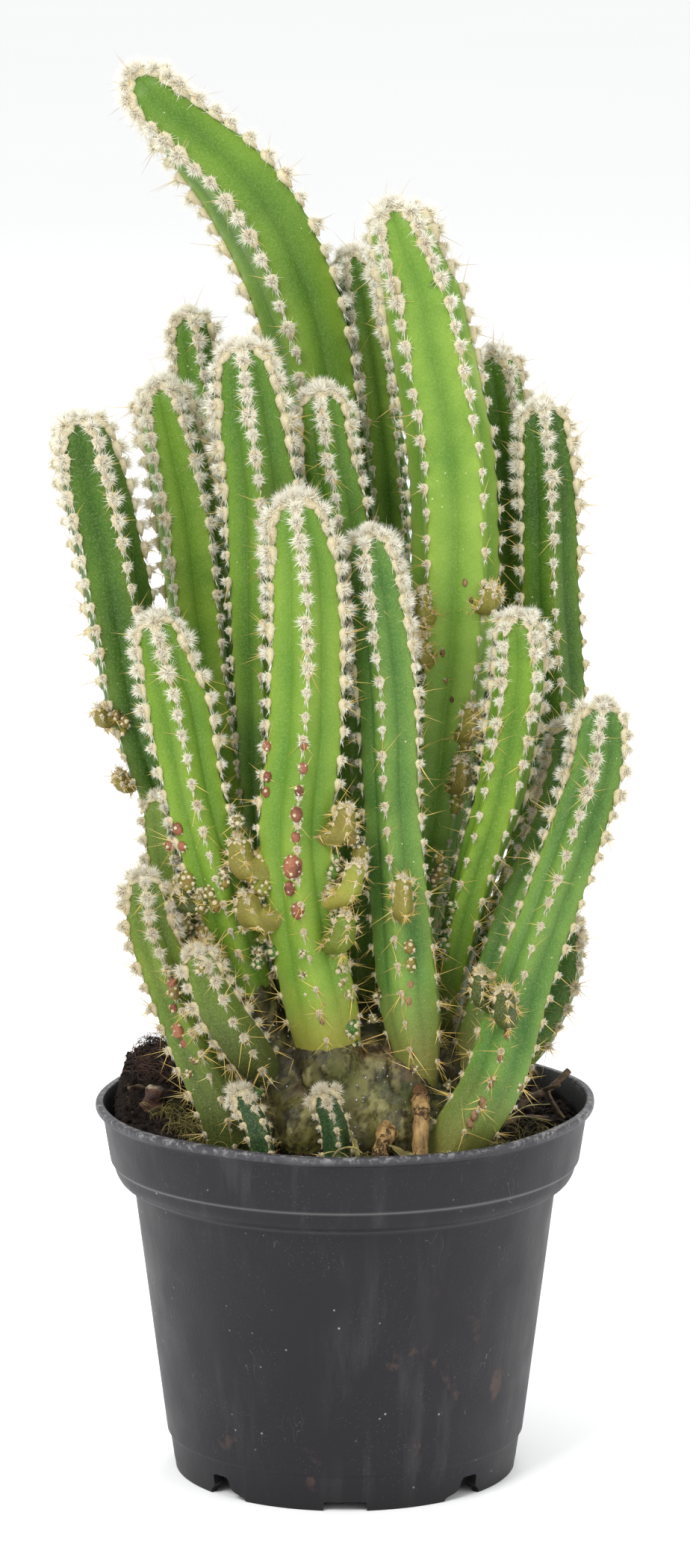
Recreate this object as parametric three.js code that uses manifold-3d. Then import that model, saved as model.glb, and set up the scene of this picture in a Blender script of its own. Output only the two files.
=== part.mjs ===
// A fairy castle cactus in a round nursery pot, in millimetres, +Z up.
// Many ribbed stems rise from one woody crown that sits in the peat of the pot.
// The origin is the middle of the pot's foot ring, on the surface it stands on, and -Y is the front.

import * as THREE from "three";
import { mergeVertices } from "three/addons/utils/BufferGeometryUtils.js";
import Module from "manifold-3d";

// Room left between pieces that touch.
const GAP = 0.3;

// The pot: a 10.5 cm nursery pot of thin injection-moulded plastic, with a collar under its lip.
const POT_HEIGHT = 80;
const LIP_RADIUS = 52.5;
const LIP_DEPTH = 2;
const LIP_ROUNDING = 0.4;
const LIP_WIDTH = 1.6;
const COLLAR_TOP_RADIUS = 51;
const COLLAR_FOOT_RADIUS = 49.4;
const COLLAR_FOOT_HEIGHT = 67.2;
const COLLAR_STEP = 0.6;
const WALL_TOP_RADIUS = 44.5;
const WALL_TOP_HEIGHT = 61.8;
const SKIRT_TOP_RADIUS = 37.4;
const SKIRT_HEIGHT = 8.2;
const SKIRT_STEP = 0.6;
const FOOT_RADIUS = 36;
const FOOT_WIDTH = 1.6;
const WALL = 1.3;
const FLOOR_UNDERSIDE = 3.8;
const FLOOR_THICKNESS = 1.4;
const POT_SIDES = 40;

// The collar's rounded underside, from the top of the plain wall: [steps out, steps up].
const COLLAR_UNDERSIDE = [[2, 0.6], [3.5, 2]];

// Notches in the skirt, eight in all: wide low ones and narrow tall ones by turns.
const NOTCHES = 8;
const WIDE_NOTCH = { width: 9, height: 2 };
const TALL_NOTCH = { width: 4.6, height: 4.6 };
const NOTCH_REACH = 8;
const DRAIN_HOLES = 8;
const DRAIN_RADIUS = 3;
const DRAIN_RING_RADIUS = 24;
const DRAIN_SIDES = 12;

// The peat: nearly level, highest at the left, with a crumbly clod that stands above the lip there.
const PEAT_HEIGHT = 75;
const PEAT_SIDES = 30;
const PEAT_RINGS = [48.6, 42, 35, 27, 14];
const PEAT_ROOM = 0.6;
const CLOD = { x: -40, y: 16, height: 11, spread: 8 };
const LEFT_BANK = { x: -42, y: -6, height: 3.5, spread: 14 };

// Shallow waves of the peat's surface: their height, and how fast they run along X and Y.
const PEAT_WAVES = [
  { height: 0.45, x: 0.31, y: 0.27, start: 1.3 },
  { height: 0.45, x: 0.31, y: -0.27, start: 1.3 },
  { height: 0.5, x: -0.4, y: 0.53, start: 0 },
];

// The woody crown, an uneven mound of old stem joints: [height, radius].
const CROWN_CENTRE = { x: 0, y: -4 };
const CROWN_LEVELS = [[63, 22], [70, 27], [78, 30.5], [86, 30], [93, 26.5], [98, 20], [100.5, 10]];
const CROWN_TOP = 101;
const CROWN_SIDES = 18;
const CROWN_FLATTENING = 0.93;

// Old joints show as lumps round the crown: how many, how far out, and how they turn on its way up.
const CROWN_LUMPS = [{ count: 5, out: 0.05, twist: 1 }, { count: 3, out: 0.035, twist: -2 }];

// Two roots that hang from the crown's front flank down into the peat: [x, y, z, radius].
const AIR_ROOTS = [
  [[9, -27, 87, 2], [9.5, -32.5, 85, 1.9], [7.5, -38.5, 80, 1.7], [6.5, -42, 72, 1.3]],
  [[15.2, -26.5, 82.5, 2], [15.6, -31, 85, 2.1], [15.5, -36.5, 82, 1.9], [15, -41.5, 72, 1.4]],
];

// A dry twig that leans out of the peat toward the lip.
const TWIG = [[33, 1, 72, 0.9], [38, 5, 77.5, 0.8], [43, 8.5, 79, 0.7], [47.5, 11.5, 82.5, 0.7]];
const ROOT_SIDES = 6;

// The ribbed skin. A valley is as deep as this share of the rib's radius. The edge of a rib is
// scalloped: it stands out at each areole and draws in between two of them.
const VALLEY = 0.66;
const SCALLOP = 0.9;
const AREOLE_PITCH = 13.5;
const SMALL_AREOLE_PITCH = 8;
const SMALL_GIRTH = 5;
const TIP_DOME = [[0.45, 0.88], [0.8, 0.52]];
const DOME_HEIGHT = 0.85;

// Spines: three-sided needles that stand on the ribs, spread to all sides by a seeded draw. A
// spine that would come near another piece is shortened to one of the trial shares, or left out.
const SPINE_LENGTHS = [3.5, 6.5];
const SPINE_TRIALS = [1, 0.7, 0.45];
const SPINE_SPREAD = 0.75;
const SPINE_LIFT = 0.1;
const SPINE_BASE = 0.13;
const SPINE_ROOT_SHIFT = 0.66;
const SPINE_SHARE = 0.29;
const SPINY_TIP_LEVELS = 3;
const SPINE_CLEARANCE = 0.7;
const SPINE_PROBES = 6;
const SPINE_FLOOR = 108;
const PEAT_SPINE_FLOOR = 84;
const LIP_CLEARANCE = 3;
const FIRST_SEED = 101;
const SEED_STEP = 37;

// A side shoot's knee and end, along its way up and as shares of its length, and its radii.
const SHOOT_RIBS = { ribs: 4, turn: 15 };
const SHOOT_ROOT_DEPTH = 0.5;
const SHOOT_KNEE_OUT = 0.6;
const SHOOT_STEPS = [0.3, 0.55];
const SHOOT_GIRTH = [0.75, 1, 0.8];

// Sockets are open up to these heights, in the crown and in the peat.
const CROWN_MOUTH = 105;
const PEAT_MOUTH = 92;
const SOCKET_SIDES = 8;
const SOCKET_ROOM = 0.45;

// Steps for walking along a stem's middle line: in millimetres, and as a share of its length.
const BODY_STEP = 2;
const SHARE_STEP = 0.01;

const GREEN = { bright: 0x7fb03c, middle: 0x548f33, deep: 0x3c7a3a, blue: 0x3b7d4c, olive: 0x6f8a3a };

// The stems, each from its foot to where its tip rounds over: [x, y, z, radius over the ribs].
// turn is the angle of the first rib from straight to the front, in degrees, and twist is how far
// the ribs turn round the stem by its tip, most of it in the last tenth of the way.
const STEMS = [
  { name: "stem_tall_leaning", colour: GREEN.middle, ribs: 4, turn: -17, twist: -30, route: [
    [-0.5, 5, 92, 4.8], [-1.5, 7, 130, 5.8], [-3, 11, 165, 6.8], [-4, 14, 199.5, 7.8],
    [-5.3, 16, 221.5, 8.6], [-9.8, 18, 244.5, 9.8], [-19.5, 20, 265.5, 10], [-32, 21.5, 280, 8.2],
    [-39.5, 22, 288, 6.8]] },
  { name: "stem_broad", colour: GREEN.bright, ribs: 5, turn: 36, route: [
    [11.5, -5, 92, 4.6], [13.5, -4.5, 108, 4.8], [17, -3.5, 130, 5.8], [20, -3, 155, 7.8],
    [22.5, -1, 184.5, 10], [22, 1, 214, 9.8], [16.5, 3, 245, 9], [15, 3.5, 250.5, 8.2],
    [11.5, 4, 261, 6.8]] },
  { name: "stem_back_middle", colour: GREEN.middle, ribs: 6, turn: -20, route: [
    [6, 13, 92, 4.4], [7.5, 15, 120, 4.8], [9, 20, 150, 5.2], [9, 25, 182, 5.4], [8, 27, 207, 5.6],
    [4.5, 28.5, 234.5, 6], [2, 29.5, 250, 5]] },
  { name: "stem_back_right", colour: GREEN.middle, ribs: 5, turn: 30, route: [
    [16, 11, 92, 4.2], [19, 11, 105, 4.6], [29, 13, 130, 5.2], [34, 18, 162, 5.8], [35, 22, 189, 6],
    [34.5, 23, 206, 6.6], [33.5, 23.5, 215, 6.6], [31.5, 24, 229, 5.6]] },
  { name: "stem_right", colour: GREEN.middle, ribs: 5, turn: 8, route: [
    [22, 1, 92, 4.2], [26, 2, 104, 4.4], [36, 5, 122, 5.4], [42, 9, 143, 6],
    [44.5, 10, 160.5, 6.2], [42.6, 8, 186.5, 6.6], [42, 8, 207.5, 6.4], [41, 8, 220.5, 5.4]] },
  { name: "stem_centre", colour: GREEN.middle, ribs: 5, turn: 0, route: [
    [2.5, -8, 92, 4], [2.5, -7, 115, 4.2], [1.5, -4.5, 145, 4.4], [0.5, -3, 171, 5.2],
    [-1, -5, 202.5, 6.2], [-3.5, -5.5, 216, 5.8], [-4.5, -6, 225.5, 5.2]] },
  { name: "stem_front_bright", colour: GREEN.bright, ribs: 5, turn: 0, route: [
    [-3, -21, 90.5, 5.4], [-3.4, -23.5, 97, 7], [-4.6, -25, 104, 7.8], [-7.5, -27, 119, 8],
    [-10, -29, 141.5, 8.2], [-8, -28, 166, 8.2], [-8, -25.5, 194, 7.6], [-9.5, -25, 205, 5.8]] },
  { name: "stem_front_slim", colour: GREEN.blue, ribs: 5, turn: 56, route: [
    [15.3, -24.5, 86, 3.4], [15.3, -26.5, 92, 4.2], [14.7, -26.5, 98, 5.4], [13.7, -26, 105, 6.6],
    [12, -25, 122, 6.8], [10, -24, 146.5, 6.4], [9, -22, 171, 6.8], [7, -20.5, 188, 6.4],
    [5.5, -20, 198, 5.2]] },
  { name: "stem_left", colour: GREEN.middle, ribs: 5, turn: 30, route: [
    [-23.5, 5, 92, 4.2], [-28, 4, 112, 4.6], [-35, 0, 136, 5.6], [-43, -7, 163.5, 7.2],
    [-47.3, -8, 189, 7.6], [-51.2, -8, 208, 7.6], [-53.6, -8, 219, 6.2]] },
  { name: "stem_left_inner", colour: GREEN.middle, ribs: 5, turn: 36, route: [
    [-13.5, 9, 92, 4.2], [-20, 9, 120, 5.2], [-26, 7, 150, 5.8], [-30, 6, 179, 7.2],
    [-32.5, 6, 201, 7.6], [-35.5, 6, 216, 6.8], [-37.5, 6, 225, 5.6]] },
  { name: "stem_left_front", colour: GREEN.bright, ribs: 5, turn: 2, route: [
    [-16, -14.5, 92, 4], [-19.6, -21, 109, 4.8], [-25.5, -26, 130, 6.4], [-30.5, -27, 149, 6.4],
    [-34, -26, 167, 7], [-35.5, -25.5, 172.5, 6.4], [-38, -24.5, 181.5, 4.8]] },
  { name: "stem_left_centre", colour: GREEN.middle, ribs: 5, turn: 0, route: [
    [-11.5, -6, 92, 4.2], [-14, -6, 115, 4.4], [-16.5, -7, 143, 5.2], [-17, -9, 179.5, 7],
    [-17, -9, 206, 8], [-19, -9, 224, 7.4], [-20.5, -9, 234.5, 5.8]] },
  { name: "stem_back_left", colour: GREEN.deep, ribs: 5, turn: 20, route: [
    [-4, 15, 92, 4.2], [-7, 15.5, 105, 4.2], [-18, 19.2, 130, 4.8], [-25, 20, 165, 5.4],
    [-28.5, 24, 206, 6], [-31, 25.5, 225.5, 5.6], [-32.5, 26, 238, 4.6]] },
  { name: "stem_right_front", colour: GREEN.bright, ribs: 5, turn: 34, route: [
    [20, -9.5, 92, 4], [21, -11, 104, 4], [26.5, -17, 129.5, 4.6], [32, -20, 149, 5.6],
    [35.5, -19.5, 171.5, 5.8], [35.5, -18.5, 181, 4.8]] },
  { name: "stem_right_curved", colour: GREEN.blue, ribs: 5, turn: -8, inPeat: true, route: [
    [18.5, -31, 71, 5.2], [23.5, -31.5, 79, 6.2], [31, -32, 92, 6.6], [36.5, -30, 110.5, 6.4],
    [43.5, -27, 130, 6.2], [51, -23.5, 152, 6.2], [52.5, -22.5, 162.5, 5.4]] },
  { name: "stem_right_shaded", colour: GREEN.deep, ribs: 5, turn: 12, route: [
    [23, -18.5, 86, 4], [28, -17.5, 100, 4.2], [35, -14, 122.5, 4.6], [42, -11, 138, 5.2],
    [45, -9.5, 148.5, 5.2], [46.3, -8.5, 157, 4.4]] },
  { name: "stem_low_left", colour: GREEN.olive, ribs: 4, turn: 20, route: [
    [-25, -11, 88, 3.8], [-29, -16, 107, 4], [-34, -17.5, 120.5, 4.4], [-36.5, -18, 134.5, 4.6],
    [-38, -18, 144, 4]] },
  { name: "stem_low_outer", colour: GREEN.olive, ribs: 5, turn: 10, inPeat: true, route: [
    [-22, -29, 69, 4.6], [-24.5, -29.5, 82, 5.4], [-31, -30, 98.5, 5.8], [-39.5, -30, 120.5, 5.2],
    [-41, -30, 129.5, 4.2]] },
  { name: "stem_low_front", colour: GREEN.olive, ribs: 4, turn: 30, route: [
    [-16.5, -23.5, 91, 3.4], [-17.6, -29.5, 93.5, 4.2], [-20.8, -35.5, 99.5, 4.6],
    [-26.2, -39.5, 108.5, 4.8], [-29.5, -39.5, 116.5, 3.6]] },
  { name: "stem_low_right", colour: GREEN.middle, ribs: 4, turn: 40, route: [
    [28, -11, 85, 3.2], [33.5, -12.5, 89, 3.8], [39.5, -14.5, 96.5, 4.4], [44.5, -15, 108, 4.8],
    [46, -14, 117.5, 4]] },
  { name: "stem_rear_left", colour: GREEN.middle, ribs: 5, turn: 15, inPeat: true, route: [
    [-22, 22, 72, 3.8], [-25, 24, 95, 4.8], [-33, 26, 125, 6], [-37.5, 27, 144, 6.2],
    [-41, 26.5, 162, 5]] },
  { name: "stem_rear_middle", colour: GREEN.bright, ribs: 5, turn: 30, inPeat: true, route: [
    [0, 24, 72, 3.8], [-1, 27, 95, 4.8], [-3, 33, 125, 6.2], [-4, 36, 155, 6.6], [-3.5, 37, 174, 6.2],
    [-2.5, 36.5, 189, 5]] },
  { name: "stem_rear_right", colour: GREEN.middle, ribs: 5, turn: 0, inPeat: true, route: [
    [18, 23, 72, 3.6], [20, 26, 95, 4.6], [23, 30, 120, 5.8], [24.5, 32.5, 141, 6.2],
    [26, 33.5, 162, 5]] },
  { name: "stem_rear_low", colour: GREEN.olive, ribs: 4, turn: 20, inPeat: true, route: [
    [8, 31, 70, 3.4], [11, 35, 88, 4], [15.5, 39, 105, 4.4], [18.5, 40.5, 119, 3.4]] },
  { name: "pup_rear_left", colour: GREEN.blue, ribs: 4, turn: 0, inPeat: true, route: [
    [-12, 31, 71, 3], [-13, 34, 84, 3.4], [-15, 37.5, 98, 3]] },
  { name: "pup_rear_right", colour: GREEN.blue, ribs: 4, turn: 25, inPeat: true, route: [
    [32, 9.5, 71, 3], [35, 11.5, 84, 3.4], [38, 13, 96, 2.8]] },
  { name: "pup_front", colour: GREEN.blue, ribs: 4, turn: 10, inPeat: true, route: [
    [-1.5, -39.5, 70, 3], [-2, -40, 82, 3.1], [-4, -40.5, 88.5, 2.6]] },
  { name: "pup_front_left", colour: GREEN.blue, ribs: 4, turn: 40, inPeat: true, route: [
    [-15.5, -40, 70, 2.8], [-18, -41, 83, 3], [-21, -41.5, 89, 2.2]] },
];

// Side shoots that grow out of a rib of their stem: the height of their root, the compass angle
// from the front in degrees, their length and radius, and how far they lean out for each step up.
const SHOOTS = {
  stem_front_bright: [
    { z: 140, angle: 62, length: 7, radius: 2.7, lean: 0.3 },
    { z: 127, angle: 58, length: 9.5, radius: 2.7, lean: 0.45 },
    { z: 119, angle: 40, length: 7, radius: 3, lean: 0.35 },
    { z: 133, angle: -76, length: 7.5, radius: 3.3, lean: 0.35 },
    { z: 124, angle: -66, length: 6.5, radius: 3.3, lean: 0.5 },
  ],
  stem_front_slim: [{ z: 124, angle: 0, length: 9, radius: 2.4, lean: 0.05 }],
  stem_right_curved: [
    { z: 104, angle: -62, length: 6.5, radius: 2.3, lean: 0.1 },
    { z: 102, angle: -12, length: 7, radius: 2.6, lean: 0.15 },
  ],
  stem_broad: [
    { z: 183, angle: 38, length: 4.5, radius: 2.3, lean: 0.3 },
    { z: 181, angle: -36, length: 6, radius: 2.2, lean: 0.15 },
    { z: 172, angle: -36, length: 6, radius: 2.2, lean: 0.15 },
    { z: 156, angle: 34, length: 7, radius: 2.3, lean: 0.15 },
    { z: 147, angle: 34, length: 7, radius: 2.3, lean: 0.15 },
  ],
  stem_left: [
    { z: 162, angle: -50, length: 3.5, radius: 2, lean: 0.5 },
    { z: 147, angle: -58, length: 3.5, radius: 1.9, lean: 0.5 },
  ],
  stem_left_front: [
    { z: 127, angle: -62, length: 5.5, radius: 2.3, lean: 0.6 },
    { z: 116, angle: -48, length: 5, radius: 2.3, lean: 0.5 },
  ],
  stem_rear_middle: [{ z: 128, angle: 150, length: 8, radius: 2.9, lean: 0.5 }],
  stem_rear_left: [{ z: 112, angle: 200, length: 7, radius: 2.7, lean: 0.5 }],
};

const wasm = await Module();
wasm.setup();

const vec = (p) => new THREE.Vector3(p[0], p[1], p[2]);
const radians = THREE.MathUtils.degToRad;
const circle = (sides, k) => (2 * Math.PI * k) / sides;

// A repeatable stream of numbers between 0 and 1.
function seededDraw(seed) {
  let state = seed;
  return () => {
    state = (state * 48271) % 2147483647;
    return state / 2147483647;
  };
}

function geometryOf(points, triangles) {
  const geometry = new THREE.BufferGeometry();
  geometry.setAttribute("position", new THREE.Float32BufferAttribute(points.flat(), 3));
  geometry.setIndex(triangles.flat());
  return geometry;
}

function solidOf(geometry) {
  const bare = geometry.clone();
  bare.deleteAttribute("normal");
  bare.deleteAttribute("uv");
  const merged = mergeVertices(bare, 1e-4);
  const mesh = new wasm.Mesh({
    numProp: 3,
    vertProperties: merged.attributes.position.array,
    triVerts: new Uint32Array(merged.index.array),
  });
  return new wasm.Manifold(mesh);
}

function meshOf(solid, name, material) {
  const { vertProperties, triVerts } = solid.getMesh();
  const geometry = new THREE.BufferGeometry();
  geometry.setAttribute("position", new THREE.BufferAttribute(vertProperties, 3));
  geometry.setIndex(new THREE.BufferAttribute(triVerts, 1));
  geometry.computeVertexNormals();
  const mesh = new THREE.Mesh(geometry, material);
  mesh.name = name;
  return mesh;
}

// A closed skin over rings of points that run counter-clockwise seen from the last ring. A ring
// may have half as many points as the next: then it has only the crests of a ribbed section, and
// where it lies between two full rings, the valleys run straight past it.
function skin(rings, foot, tip) {
  const points = [foot];
  const starts = rings.map((ring) => points.push(...ring) - ring.length);
  points.push(tip);
  const triangles = [];
  const fan = (ring, start, apex, up) => {
    for (let k = 0; k < ring.length; k++) {
      const a = start + k;
      const b = start + ((k + 1) % ring.length);
      triangles.push(up ? [a, b, apex] : [b, a, apex]);
    }
  };
  fan(rings[0], starts[0], 0, false);
  for (let level = 1; level < rings.length; level++) {
    const below = rings[level - 1].length;
    const above = rings[level].length;
    const at = (ring, k) => starts[ring] + (k % rings[ring].length);
    const low = (k) => at(level - 1, k);
    const high = (k) => at(level, k);
    if (below === above) {
      for (let k = 0; k < below; k++) {
        triangles.push([low(k), low(k + 1), high(k)], [low(k + 1), high(k + 1), high(k)]);
      }
    } else if (below > above) {
      const between = rings[level + 1]?.length === below;
      for (let k = 0; k < above; k++) {
        const valleyEnd = between ? at(level + 1, 2 * k + 1) : high(k + 1);
        triangles.push([low(2 * k), low(2 * k + 1), high(k)]);
        triangles.push([low(2 * k + 1), valleyEnd, high(k)]);
        triangles.push([low(2 * k + 1), low(2 * k + 2), high(k + 1)]);
      }
    } else {
      for (let k = 0; k < below; k++) {
        triangles.push([low(k), high(2 * k + 1), high(2 * k)]);
        triangles.push([at(level - 2, 2 * k + 1), low(k + 1), high(2 * k + 1)]);
        triangles.push([low(k + 1), high(2 * k + 2), high(2 * k + 1)]);
      }
    }
  }
  const last = rings.length - 1;
  fan(rings[last], starts[last], points.length - 1, true);
  return { points, triangles, starts };
}

// A smooth route through [x, y, z, radius] points, with a frame at any place along it. The
// frame's side stays level with +X, and its back is square to it and to the route.
function routeOf(points) {
  const curve = new THREE.CatmullRomCurve3(points.map(vec), false, "catmullrom", 0.5);
  const spans = points.length - 1;
  const length = curve.getLength();
  const at = (share) => {
    const t = curve.getUtoTmapping(THREE.MathUtils.clamp(share, 0, 1));
    const span = Math.min(Math.floor(t * spans), spans - 1);
    const radius = THREE.MathUtils.lerp(points[span][3], points[span + 1][3], t * spans - span);
    const ahead = curve.getTangent(t);
    const side = new THREE.Vector3(1, 0, 0).addScaledVector(ahead, -ahead.x).normalize();
    const back = new THREE.Vector3().crossVectors(ahead, side);
    return { centre: curve.getPoint(t), radius, ahead, side, back };
  };
  return { at, length };
}

// A point of a stem's section, at an angle from the front and a distance from its middle line.
function sectionPoint(frame, angle, distance, along = 0) {
  return frame.centre
    .clone()
    .addScaledVector(frame.side, distance * Math.sin(angle))
    .addScaledVector(frame.back, -distance * Math.cos(angle))
    .addScaledVector(frame.ahead, along)
    .toArray();
}

// A plain round body along a route, or the hole for one, wider by grow.
function roundTube(points, sides, grow = 0) {
  const route = routeOf(points);
  const rings = points.map((_, i) => roundRing(route.at(i / (points.length - 1)), sides, grow));
  return tubeOf(rings);
}

function roundRing(frame, sides, grow, along = 0) {
  const distance = (frame.radius + grow) / Math.cos(Math.PI / sides);
  return Array.from({ length: sides }, (_, k) =>
    sectionPoint(frame, circle(sides, k), distance, along));
}

function tubeOf(rings) {
  const middle = (ring) =>
    [0, 1, 2].map((axis) => ring.reduce((sum, p) => sum + p[axis], 0) / ring.length);
  const { points, triangles } = skin(rings, middle(rings[0]), middle(rings[rings.length - 1]));
  return solidOf(geometryOf(points, triangles));
}

// The ribbed body of a stem: a full ring at each areole level, and only the drawn-in crests
// halfway between two levels. Also returns which rings are areole levels. The twist grows as this
// power of the share of the way.
const TWIST_POWER = 12;
function ribbedSkin(points, { ribs, turn, twist = 0 }, pitch) {
  const route = routeOf(points);
  const levels = Math.round(route.length / pitch);
  const frameAt = (share) =>
    ({ ...route.at(share), firstCrest: radians(turn + twist * share ** TWIST_POWER) });
  const crestRing = (frame, share, along) =>
    Array.from({ length: ribs }, (_, k) =>
      sectionPoint(frame, frame.firstCrest + circle(ribs, k), frame.radius * share, along));
  const fullRing = (frame, share, along) =>
    Array.from({ length: 2 * ribs }, (_, k) =>
      sectionPoint(frame, frame.firstCrest + circle(2 * ribs, k),
        frame.radius * share * (k % 2 ? VALLEY : 1), along));
  const rings = [];
  const areoles = [];
  for (let level = 0; level < levels; level++) {
    areoles.push(rings.length);
    rings.push(fullRing(frameAt(level / levels), 1));
    rings.push(crestRing(frameAt((level + 0.5) / levels), SCALLOP));
  }
  const end = frameAt(1);
  const dome = end.radius * DOME_HEIGHT;
  areoles.push(rings.length);
  rings.push(fullRing(end, 1));
  TIP_DOME.forEach(([along, share]) => rings.push(crestRing(end, share, along * dome)));
  const foot = sectionPoint(route.at(0), 0, 0);
  const tip = sectionPoint(end, 0, 0, dome);
  return { ...skin(rings, foot, tip), areoles, ribs };
}

// The middle lines of all stems and shoots as balls, for keeping spines clear of them.
const bodies = [];

function addBody(owner, points) {
  const route = routeOf(points);
  const steps = Math.ceil(route.length / BODY_STEP);
  for (let k = 0; k <= steps; k++) {
    const { centre, radius } = route.at(k / steps);
    bodies.push({ owner, centre, radius });
  }
}

const spines = [];

function spineIsClear(owner, root, point) {
  const line = new THREE.Line3(root, point);
  const nearest = new THREE.Vector3();
  for (const body of bodies) {
    if (body.owner === owner) continue;
    line.closestPointToPoint(body.centre, true, nearest);
    if (nearest.distanceTo(body.centre) < body.radius + SPINE_CLEARANCE) return false;
  }
  const nearLip = Math.hypot(point.x, point.y) > LIP_RADIUS - LIP_CLEARANCE;
  if (nearLip && point.z < POT_HEIGHT + LIP_CLEARANCE) return false;
  return spines.every(({ from, to }) => {
    for (let k = 0; k <= SPINE_PROBES; k++) {
      const probe = new THREE.Vector3().lerpVectors(root, point, k / SPINE_PROBES);
      new THREE.Line3(from, to).closestPointToPoint(probe, true, nearest);
      if (nearest.distanceTo(probe) < SPINE_CLEARANCE) return false;
    }
    return true;
  });
}

// Turns one triangle of a skin into a needle: a small copy of the triangle near its crest
// corner is drawn out to a point.
function raiseSpine(body, index, crest, owner, draw) {
  const corners = body.triangles[index];
  const places = corners.map((c) => vec(body.points[c]));
  const root = new THREE.Vector3();
  const otherShare = (1 - SPINE_ROOT_SHIFT) / 2;
  corners.forEach((c, k) => root.addScaledVector(places[k], c === crest ? SPINE_ROOT_SHIFT : otherShare));
  const face = new THREE.Triangle(...places).getNormal(new THREE.Vector3());
  const tilt = () => (draw() * 2 - 1) * SPINE_SPREAD;
  const way = face.add(new THREE.Vector3(tilt(), tilt(), tilt() + SPINE_LIFT)).normalize();
  const [shortest, longest] = SPINE_LENGTHS;
  const length = shortest + (longest - shortest) * draw();
  for (const share of SPINE_TRIALS) {
    const point = root.clone().addScaledVector(way, length * share);
    if (!spineIsClear(owner, root, point)) continue;
    spines.push({ from: root, to: point });
    const first = body.points.length;
    places.forEach((p) => body.points.push(root.clone().lerp(p, SPINE_BASE).toArray()));
    body.points.push(point.toArray());
    const [a, b, c] = corners;
    const [d, e, f, peak] = [first, first + 1, first + 2, first + 3];
    body.triangles[index] = [a, b, e];
    body.triangles.push([a, e, d], [b, c, f], [b, f, e], [c, a, d], [c, d, f]);
    body.triangles.push([d, e, peak], [e, f, peak], [f, d, peak]);
    return;
  }
}

function addSpines(body, owner, lowest, seed) {
  const draw = seededDraw(seed);
  const firstTriangles = body.triangles.length;
  const withCrest = new Map();
  for (let index = 0; index < firstTriangles; index++) {
    for (const corner of body.triangles[index]) {
      if (!withCrest.has(corner)) withCrest.set(corner, []);
      withCrest.get(corner).push(index);
    }
  }
  const taken = new Set();
  body.areoles.forEach((ring, level) => {
    for (let rib = 0; rib < body.ribs; rib++) {
      const crest = body.starts[ring] + 2 * rib;
      const nearTip = level >= body.areoles.length - SPINY_TIP_LEVELS;
      const chosen = draw() < (nearTip ? 2 * SPINE_SHARE : SPINE_SHARE);
      if (!chosen || body.points[crest][2] < lowest) continue;
      const free = withCrest.get(crest).filter((index) => !taken.has(index));
      if (!free.length) continue;
      const index = free[Math.floor(draw() * free.length)];
      taken.add(index);
      raiseSpine(body, index, crest, owner, draw);
    }
  });
}

function shareAtHeight(route, z) {
  let share = 0;
  while (share < 1 && route.at(share).centre.z < z) share += SHARE_STEP;
  return share;
}

// A shoot leaves its stem at a rib and turns up. Its root is sunk well into the stem.
function shootRoute(stem, { z, angle, length, radius, lean }) {
  const route = routeOf(stem.route);
  const frame = route.at(shareAtHeight(route, z));
  const out = vec(sectionPoint(frame, radians(angle), 1)).sub(frame.centre);
  const way = out.clone().multiplyScalar(lean).add(new THREE.Vector3(0, 0, 1)).normalize();
  const root = frame.centre.clone().addScaledVector(out, frame.radius * SHOOT_ROOT_DEPTH);
  const knee = frame.centre.clone().addScaledVector(out, frame.radius + radius * SHOOT_KNEE_OUT);
  knee.addScaledVector(way, length * SHOOT_STEPS[0]);
  const end = knee.clone().addScaledVector(way, length * SHOOT_STEPS[1]);
  return [root, knee, end].map((point, k) => [...point.toArray(), radius * SHOOT_GIRTH[k]]);
}

for (const stem of STEMS) {
  addBody(stem.name, stem.route);
  stem.shoots = (SHOOTS[stem.name] ?? []).map((shoot) => shootRoute(stem, shoot));
  stem.shoots.forEach((points) => addBody(stem.name, points));
}

function stemSolid(stem, seed) {
  const widest = Math.max(...stem.route.map(([, , , radius]) => radius));
  const body = ribbedSkin(stem.route, stem, widest > SMALL_GIRTH ? AREOLE_PITCH : SMALL_AREOLE_PITCH);
  addSpines(body, stem.name, stem.inPeat ? PEAT_SPINE_FLOOR : SPINE_FLOOR, seed);
  let solid = solidOf(geometryOf(body.points, body.triangles));
  for (const points of stem.shoots) {
    const shoot = ribbedSkin(points, SHOOT_RIBS, SMALL_AREOLE_PITCH);
    solid = solid.add(solidOf(geometryOf(shoot.points, shoot.triangles)));
  }
  return solid;
}

// The plain round hole that a stem's foot stands in. It bends where the stem's route does.
function socketOf(stem) {
  const route = routeOf(stem.route);
  const mouth = stem.inPeat ? PEAT_MOUTH : CROWN_MOUTH;
  const bends = stem.route.slice(1, -1).map(([, , z]) => z).filter((z) => z < mouth);
  const rings = [...bends, mouth].map((z) =>
    roundRing(route.at(shareAtHeight(route, z)), SOCKET_SIDES, SOCKET_ROOM));
  return tubeOf([roundRing(route.at(0), SOCKET_SIDES, SOCKET_ROOM, -SOCKET_ROOM), ...rings]);
}

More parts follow.
